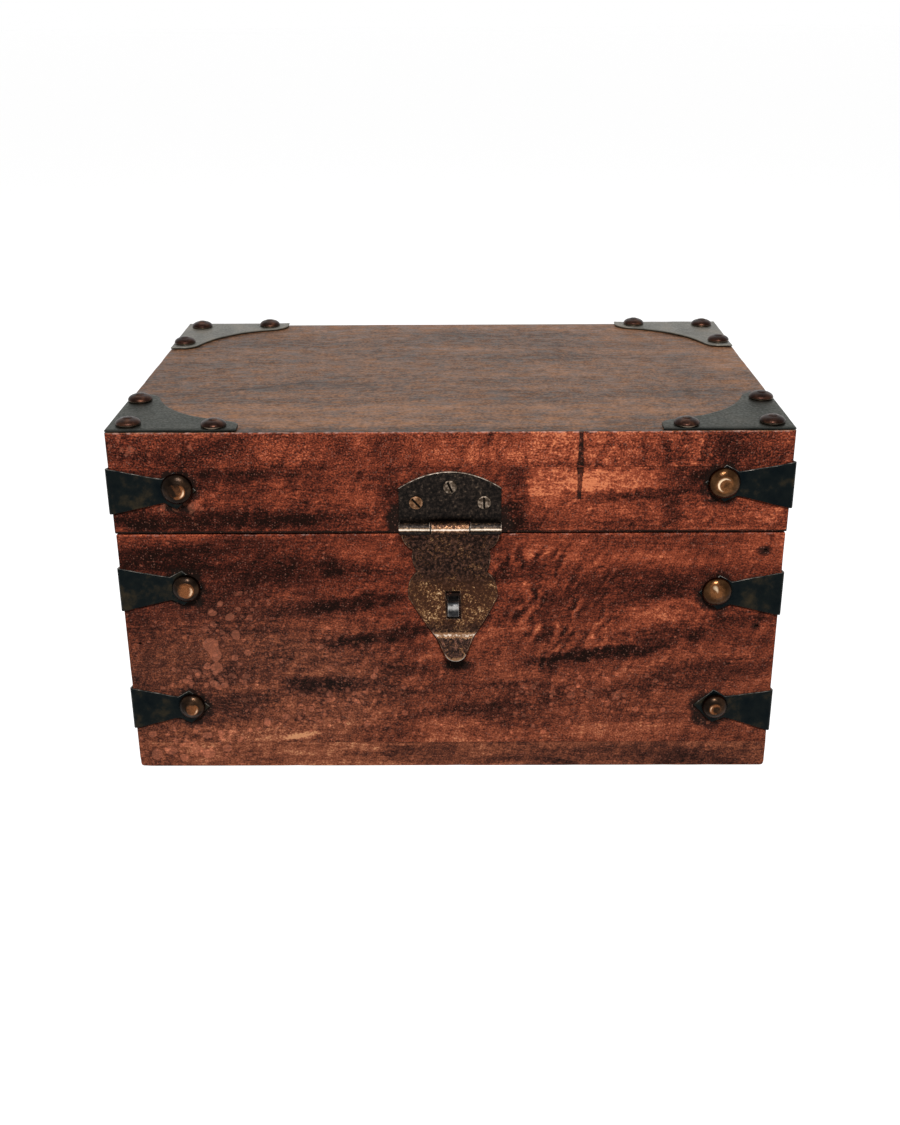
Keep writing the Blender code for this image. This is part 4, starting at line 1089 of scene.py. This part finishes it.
plateShape = {"thick": 0.8, "gap": 0.3, "inset": 0.4, "arm": 57.0, "end": 7.5, "lobe": 6.5, "fall": 1.6,
              "waist": 27.5, "steps": 16, "rim": 0.22, "lift": 0.2, "liftFrom": 49.0, "wave": 0.10,
              "waveScale": 0.12, "cuts": (3.0, 54.0, 3.0)}


def plateOutline():
    # for the front right corner: one arm along -X, the other along +Y
    shape = plateShape
    square = (shape["arm"], shape["end"])
    swell = (shape["arm"] - shape["fall"], shape["end"] + shape["lobe"] - shape["fall"])
    lobe = (shape["arm"] - shape["lobe"], shape["end"] + shape["lobe"])
    hollow = 2 * shape["waist"] - (lobe[0] + lobe[1]) / 2
    edge = [(0.0, 0.0), (shape["arm"], 0.0), square]
    edge += curvePoints(square, swell, lobe, shape["steps"] // 2)
    edge += curvePoints(lobe, (hollow, hollow), lobe[::-1], shape["steps"])
    edge += curvePoints(lobe[::-1], swell[::-1], square[::-1], shape["steps"] // 2)
    return [(-along, across) for along, across in edge + [(0.0, shape["arm"])]]


def makePlate(corner):
    end, side = corner.split("_")
    node = "lid_plate_" + corner
    shape = plateShape
    start = Vector((sides[side] * (bodyBoxes["lid"][1].x - shape["inset"] * mm),
                    ends[end] * (halfDepth - shape["inset"] * mm), bodyBoxes["lid"][1].z))
    steps = evenSteps(*shape["cuts"])
    mesh = cutSheet(plateOutline(), shape["thick"], [-step for step in steps], steps, shape["rim"])

    def lay(across, up, depth):
        tip = max(0.0, max(-across, up) - shape["liftFrom"]) / (shape["arm"] - shape["liftFrom"])
        wave = shape["wave"] * (noise.noise(Vector((across, up, 0)) * shape["waveScale"] + start * 70) + 0.6)
        rise = shape["gap"] + depth + shape["lift"] * tip * tip + wave
        return Vector((across, up, rise)) * mm

    bendTo(mesh, lay)
    standOn(mesh, start, (0, 0, 1), radians(cornerTurns[corner]))
    # cut edges facing the back keep the pale edge finish: a painted highlight
    dullRims(mesh, (0, 1, 0))
    # the back plates take the paler copy: painted sheen
    iron = metals["plate" if end == "front" else "backPlate"]
    finishPiece("fine_" + node, mesh, [iron, metals["bareLitEdge"]], "lid", [node], crisp=25)
    for arm in ("corner", "width_arm", "depth_arm"):
        nail = f"lid_plate_nail_{corner}_{arm}"
        seat = middleOf(nail)
        seat.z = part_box(nail)[1].z - plateNail["height"] * mm
        makeNail("fine_" + nail, plateNail, seat, (0, 0, 1), "lid", nail)


for corner in cornerTurns:
    makePlate(corner)
print("corner plates and their nails made")


# Rolled knuckles, for the hasp and the back hinges

def rollSheet(shape, way, bend=None):
    # a flat sheet beside the axis, its tabs rolled round the pin; way tells where the sheet lies
    middle = shape["barrel"] - shape["thick"] / 2
    back = shape["barrel"] + shape["gap"] - shape["thick"] / 2

    def roll(across, up, depth):
        beyond = -up * way
        if beyond <= 0:
            out = depth - shape["barrel"] - shape["gap"]
            return bend(across, up, out, depth) if bend else (across, out, up)
        angle = beyond / middle
        ease = min(1.0, angle / (pi / 3))
        radius = back + (middle - back) * ease - (depth - shape["thick"] / 2)
        return (across, -radius * cos(angle), -way * radius * sin(angle))

    return roll


def rollLength(shape):
    return radians(shape["roll"]) * (shape["barrel"] - shape["thick"] / 2)


def makeHinged(node, shape, mesh, way, axis, out, materials, bend=None, bare=None):
    roll = rollSheet(shape, way, bend)
    wearAndPaintedLight = mesh.verts.layers.float.new("wearAndPaintedLight")
    for vert in mesh.verts:
        flat = vert.co.copy()
        across, outward, up = roll(*flat)
        rolled = max(0.0, -flat.y * way)
        vert[wearAndPaintedLight] = shape["shine"](flat.x, flat.y, outward, up, rolled)
        vert.co = Vector(axis) + Vector((across * mm * -out, outward * mm * out, up * mm))
    if bare:
        dullRims(mesh, bare)
    finishPiece("fine_" + node, mesh, materials, bodyOf[node], [node], crisp=25)


# painted highlight lines on the barrel's worn front: strength, height over the axis and half height
barrelGlow = {"middle": 8.6, "ground": 0.36, "middleLines": [(1.4, 0.3, 0.5)],
              "outerLines": [(1.7, 0.4, 0.58), (0.6, 2.6, 0.2)]}


def brightLines(up, lines):
    return sum(power * exp(-((up - height) / half) ** 2) for power, height, half in lines)


def barrelShine(across, flatUp, outward, up, rolled):
    # the barrel's front is rubbed bright and carries painted highlight lines, its middle knuckle most of all
    if rolled <= 0 or outward < 0:
        return 0.0
    if abs(across) < barrelGlow["middle"]:
        return barrelGlow["ground"] + brightLines(up, barrelGlow["middleLines"])
    return brightLines(up, barrelGlow["outerLines"])


pinShape = {"past": 0.1, "bevel": 0.35, "crown": 0.08, "crownAt": 0.6, "steps": 24}


def makePin(node, hinge, axis):
    shape = pinShape
    radius = hinge["pin"]
    half = hinge["half"] + shape["past"]
    end = [(0.0, half), (radius * shape["crownAt"], half - shape["crown"]), (radius, half - shape["bevel"])]
    mesh = turned(end + [(across, -along) for across, along in reversed(end)], shape["steps"])
    standOn(mesh, axis, (1, 0, 0))
    finishPiece("fine_" + node, mesh, [metals["steel"]], bodyOf[node], [node], crisp=50)


# Slotted screws

screwShape = {"radius": 3.05, "height": 0.75, "round": 0.35, "slot": 1.0, "deep": 0.55, "wall": 0.3,
              "sides": 36, "dome": 0.25, "sunk": 0.05}


def makeScrew(name, seat, normal, angle, material, body, node=None):
    shape = screwShape
    radius, half = shape["radius"] * mm, shape["slot"] / 2 * mm
    mesh = bmesh.new()
    bmesh.ops.create_circle(mesh, cap_ends=True, segments=shape["sides"], radius=radius)
    cutAt(mesh, 1, (-half, half))
    cutAt(mesh, 0, (-radius + shape["wall"] * mm, radius - shape["wall"] * mm))
    extrudeUp(mesh, mesh.faces[:], shape["height"] * mm)
    bmesh.ops.recalc_face_normals(mesh, faces=mesh.faces[:])
    slot = [face for face in mesh.faces if face.normal.z > 0.9
            and face.calc_center_median().xy.length < 0.1 * mm]
    floor = extrudeUp(mesh, slot, -shape["deep"] * mm)
    bmesh.ops.delete(mesh, geom=slot, context="FACES_ONLY")
    # the slot's floor takes the near-black finish: painted shade
    for face in {face for vert in floor for face in vert.link_faces}:
        face.material_index = 1
    lip = [edge for edge in mesh.edges if all(vert.co.z > 0.9 * shape["height"] * mm
                                              and vert.co.xy.length > 0.98 * radius for vert in edge.verts)]
    roundEdges(mesh, lip, shape["round"] * mm, 3)
    for vert in mesh.verts:
        if vert.co.z > 0.5 * shape["height"] * mm:
            vert.co.z += shape["dome"] * mm * (1 - (vert.co.xy.length / radius) ** 2)
    standOn(mesh, seat, normal, angle)
    finishPiece(name, mesh, [material, metals["slotShade"]], body, [node] if node else [], crisp=30)


# Hasp on the front

haspShape = {"half": 22.7, "thick": 1.2, "barrel": 2.9, "gap": 0.3, "middle": 17.0, "clear": 0.4,
             "roll": 300.0, "rollStep": 0.5, "shoulder": 18.1, "crown": 25.7, "crownSteps": 24, "rim": 0.3,
             "shine": barrelShine, "cutsAcross": [-20.0, -16.0, -12.0, -5.0, 0.0, 5.0, 12.0, 16.0, 20.0],
             "cutsUp": [0.6, 1.6, 6.0, 10.0, 14.0, 16.8], "pin": 1.2}
# places on the flap are across and down from its axis; a turn is a curve's control point and its steps;
# the cuts across come before and after those of the slot
# the bend line and the lip are painted highlights across the flap's bend and along its tip's end
flapShape = {**haspShape, "flare": 22.0, "hip": (17.0, 11.0), "waist": (15.7, 21.9),
             "shoulder": (20.2, 34.2), "bend": (8.9, 54.0), "tip": (5.1, 62.4), "end": (3.8, 66.0),
             "turns": {"hip": ((21.4, 9.0), 8), "waist": ((18.6, 16.0), 8), "shoulder": ((21.0, 25.9), 10),
                       "bend": ((15.45, 44.1), 8)},
             "angle": 25.0, "bow": 5.0, "lean": 0.035, "slot": (3.3, 6.8), "slotDrop": 38.2,
             "cutsAcross": ([-16.0, -12.0, -8.0], [8.0, 12.0, 16.0, -5.5, 5.5, 0.0]),
             "cutsUp": [-8.0, -14.0, -20.0, -27.0], "cutsBend": (-51.5, -57.0, 0.5),
             "cutsTip": [-59.5, -63.5], "endSteps": 10, "bendLine": (1.15, 53.6, 1.8), "lip": 0.8,
             "lipFrom": 61.0, "lipCurve": 9.0}
haspAxis = Vector(next(joint["pos_m"] for joint in frame["record"]["behaviour"]["joints"]
                       if joint["name"] == "hasp_hinge"))
haspBare = [metals["hasp"], metals["haspEdge"]]


def makeLeaf():
    shape = haspShape
    notch = shape["middle"] / 2 + shape["clear"]
    top = shape["barrel"] + shape["clear"]
    roll = -rollLength(shape)
    right = [(notch, top), (notch, roll), (shape["half"], roll), (shape["half"], shape["shoulder"])]
    left = mirrored(right)
    crown = curvePoints(right[-1], (0.0, 2 * shape["crown"] - shape["shoulder"]), left[0],
                        shape["crownSteps"])[:-1]
    up = evenSteps(roll, 0.0, shape["rollStep"]) + shape["cutsUp"]
    mesh = cutSheet(right + crown + left, shape["thick"], shape["cutsAcross"], up, shape["rim"])
    # the arch's upward cut edges take the pale arch finish: a painted highlight
    iron = [metals["leaf"], metals["archEdge"]]
    makeHinged("hasp_leaf", shape, mesh, 1, haspAxis, -1, iron, bare=(0, 0, 1))


def flapOutline():
    shape = flapShape
    tab = shape["middle"] / 2
    top = shape["barrel"] + shape["clear"]
    side = [(tab, -rollLength(shape)), (tab, top), (shape["flare"], top)]
    for place, (control, steps) in shape["turns"].items():
        side += curvePoints(side[-1], control, shape[place], steps)
    side += [shape["tip"]]
    side += curvePoints(shape["tip"], shape["end"], (0.0, shape["end"][1]), shape["endSteps"])
    outline = [(across, -drop) for across, drop in side]
    return outline + mirrored(outline[:-1])


def bendFlap(across, up, out, depth):
    # the flap leans a little sideways, and its tip is bent outwards round a soft bow
    shape = flapShape
    drop = -up
    angle = radians(shape["angle"])
    arc = shape["bow"] * angle
    past = drop - (shape["bend"][1] - arc / 2)
    across += shape["lean"] * max(0.0, drop - shape["barrel"] - shape["clear"])
    if past <= 0:
        return (across, out, up)
    turn = min(angle, past / shape["bow"])
    straight = max(0.0, past - arc)
    base = up + past
    radius = shape["bow"] - depth
    fall = radius * sin(turn) + straight * cos(turn)
    rise = shape["bow"] - radius * cos(turn) + straight * sin(turn)
    return (across, out - depth + rise, base - fall)


def flapShine(across, flatUp, outward, up, rolled):
    if rolled > 0:
        return barrelShine(across, flatUp, outward, up, rolled)
    drop = -flatUp
    # a painted highlight along the tip's end, and a painted highlight band across the bend
    lip = flapShape["end"][1] - flapShape["lip"] - across * across / flapShape["lipCurve"]
    if drop > flapShape["lipFrom"] and drop > lip:
        return 1.0
    return brightLines(drop, [flapShape["bendLine"]])


def makeFlap():
    shape = {**flapShape, "shine": flapShine}
    half, high = shape["slot"]
    drop = shape["slotDrop"]
    before, after = shape["cutsAcross"]
    across = before + [-half, half] + after
    up = evenSteps(0.0, rollLength(shape), shape["rollStep"]) + [-drop - high, -drop + high]
    up += shape["cutsUp"] + evenSteps(*shape["cutsBend"]) + shape["cutsTip"]
    opening = ((-half, -drop - high), (half, -drop + high))
    mesh = cutSheet(flapOutline(), shape["thick"], across, up, shape["rim"], opening)
    makeHinged("hasp_flap", shape, mesh, -1, haspAxis, -1, haspBare, bendFlap)


stapleShape = {"width": 5.0, "height": 7.6, "thick": 1.2, "reach": 8.0, "round": 2.4, "root": -10.0,
               "steps": 8, "rim": 0.28, "line": (0.75, 1.8, 1.2), "sideHighlight": 0.80, "wornFront": 2.6}


def makeStaple():
    # a strip bent into a loop, its legs in the front board one above the other
    shape = stapleShape
    middle = middleOf("hasp_staple")
    half = shape["width"] / 2
    rings = []
    for inset in (0.0, shape["thick"]):
        top = shape["height"] / 2 - inset
        out = shape["reach"] - inset
        bend = shape["round"] - inset
        upper = [(shape["root"], top), (out - bend, top)]
        upper += curvePoints(upper[-1], (out, top), (out, top - bend), shape["steps"])
        rings.append(upper + [(reach, -rise) for reach, rise in reversed(upper)])
    mesh = cutSheet(rings[0] + rings[1][::-1], shape["width"], [], [], shape["rim"])
    wearAndPaintedLight = mesh.verts.layers.float.new("wearAndPaintedLight")
    for vert in mesh.verts:
        out, rise, width = vert.co
        # painted highlights: a line across the loop's front and lines along its sides
        brightened = brightLines(rise, [shape["line"]])
        sided = shape["sideHighlight"] * (abs(width - half) > half - 0.2)
        vert[wearAndPaintedLight] = max(brightened, sided) * (out > shape["reach"] - shape["wornFront"])
        vert.co = Vector((middle.x + (width - half) * mm, -halfDepth - out * mm, middle.z + rise * mm))
    for face in mesh.faces:
        face.material_index = 0
    finishPiece("fine_hasp_staple", mesh, [metals["steel"]], "base", ["hasp_staple"], crisp=35)


makeLeaf()
makeFlap()
makeStaple()
makePin("hasp_pin", haspShape, haspAxis)
haspScrews = {"left": (48.0, "copperScrew"), "top": (66.0, "greyScrew"), "right": (88.0, "greyScrew")}
leafFront = -halfDepth - (haspShape["gap"] + haspShape["thick"]) * mm
for which, (angle, finish) in haspScrews.items():
    node = "hasp_screw_" + which
    seat = middleOf(node)
    seat.y = leafFront + screwShape["sunk"] * mm
    makeScrew("fine_" + node, seat, (0, -1, 0), radians(-angle), metals[finish], "lid", node)
print("hasp made")


# Butt hinges on the back

hingeShape = {"half": 20.0, "thick": 1.2, "barrel": 2.8, "gap": 0.3, "middle": 14.0, "clear": 0.4,
              "roll": 300.0, "rollStep": 0.5, "height": 24.0, "corner": 4.0, "rim": 0.3, "pin": 1.3,
              "screwAcross": 12.0, "screwRise": 14.0, "screwTurn": 70, "shine": barrelShine,
              "cutsAcross": (-18.0, 18.0, 4.0), "cutsUp": (0.4, 1.2, 6.0, 11.0, 16.0, 20.0)}


def hingeOutline(outer, way):
    shape = hingeShape
    top = shape["barrel"] + shape["clear"]
    roll = -rollLength(shape)
    if outer:
        notch = shape["middle"] / 2 + shape["clear"]
        right = [(notch, top), (notch, roll), (shape["half"], roll)]
    else:
        tab = shape["middle"] / 2
        right = [(tab, roll), (tab, top), (shape["half"], top)]
    right += [(shape["half"], shape["height"] - shape["corner"]),
              (shape["half"] - shape["corner"], shape["height"])]
    return [(across, up * way) for across, up in right + mirrored(right)]


def makeHinge(side):
    shape = hingeShape
    axis = middleOf(f"hinge_{side}_pin")
    leafBack = halfDepth + (shape["gap"] + shape["thick"]) * mm
    for leaf, outer, way in (("base", True, -1), ("lid", False, 1)):
        node = f"hinge_{side}_{leaf}_leaf"
        up = [-way * step for step in evenSteps(0.0, rollLength(shape), shape["rollStep"])]
        up += [way * step for step in shape["cutsUp"]]
        across = evenSteps(*shape["cutsAcross"])
        mesh = cutSheet(hingeOutline(outer, way), shape["thick"], across, up, shape["rim"])
        makeHinged(node, shape, mesh, way, axis, 1, haspBare)
        for which, hand in sides.items():
            seat = Vector((axis.x + hand * shape["screwAcross"] * mm, leafBack - screwShape["sunk"] * mm,
                           axis.z + way * shape["screwRise"] * mm))
            angle = radians(shape["screwTurn"]) * noise.noise(seat * 200)
            name = f"fine_hinge_{side}_{leaf}_screw_{which}"
            makeScrew(name, seat, (0, 1, 0), angle, metals["greyScrew"], bodyOf[node])
    makePin(f"hinge_{side}_pin", shape, axis)


for side in sides:
    makeHinge(side)
print("back hinges made")


# Studio: a pale floor, a white surround and soft lamps

studio = {"floorSize": 30.0, "floorCells": 8, "floorTone": (0.40, 0.40, 0.40), "floorRough": 0.9,
          "floorSpecular": 0.1, "floorLift": 0.90, "floorDrop": 0.1, "ambient": 0.13}
lamps = {"keyLamp": {"place": (0.0, -0.92, 1.02), "aim": (0.0, 0.0, 0.08), "size": 0.20, "power": 19.5},
         "topLamp": {"place": (0.0, 0.55, 1.1), "aim": (0.0, 0.0, 0.16), "size": 0.9, "power": 2.0}}


def seenDirectly(tree):
    # what the camera sees straight, in a mirror or through glass
    path = addNode(tree, "LightPath").outputs
    seen = work(tree, "MAXIMUM", path["Is Camera Ray"], path["Is Glossy Ray"])
    return work(tree, "MAXIMUM", seen, path["Is Transmission Ray"])


def makeFloor():
    mesh = bmesh.new()
    cells = studio["floorCells"]
    bmesh.ops.create_grid(mesh, x_segments=cells, y_segments=cells, size=studio["floorSize"] / 2)
    bmesh.ops.translate(mesh, vec=(0, 0, -studio["floorDrop"] * mm), verts=mesh.verts)
    data = toData("floor", mesh)
    floor = newObject("floor", data)
    material = bpy.data.materials.new("paleFloor")
    material.use_nodes = True
    tree = material.node_tree
    shader = tree.nodes["Principled BSDF"]
    shader.inputs["Base Color"].default_value = colour(*studio["floorTone"])
    shader.inputs["Roughness"].default_value = studio["floorRough"]
    shader.inputs["Specular IOR Level"].default_value = studio["floorSpecular"]
    shader.inputs["Emission Color"].default_value = colour(1.0, 1.0, 1.0)
    lift = times(tree, seenDirectly(tree), studio["floorLift"])
    tree.links.new(lift, shader.inputs["Emission Strength"])
    data.materials.append(material)


def makeWorld():
    world = bpy.data.worlds.new("whiteSurround")
    world.use_nodes = True
    tree = world.node_tree
    back = tree.nodes["Background"]
    back.inputs["Color"].default_value = colour(1.0, 1.0, 1.0)
    strength = addNode(tree, "MapRange", {0: seenDirectly(tree), 3: studio["ambient"], 4: 1.0}).outputs[0]
    tree.links.new(strength, back.inputs["Strength"])
    bpy.context.scene.world = world


def addLamp(name, lamp):
    data = bpy.data.lights.new(name, "AREA")
    data.shape = "DISK"
    data.size = lamp["size"]
    data.energy = lamp["power"]
    light = newObject(name, data)
    light.location = lamp["place"]
    light.rotation_euler = (Vector(lamp["aim"]) - Vector(lamp["place"])).to_track_quat("-Z", "Y").to_euler()


makeFloor()
makeWorld()
for name, lamp in lamps.items():
    addLamp(name, lamp)
bpy.context.scene.view_settings.view_transform = "Standard"
print("studio lit")
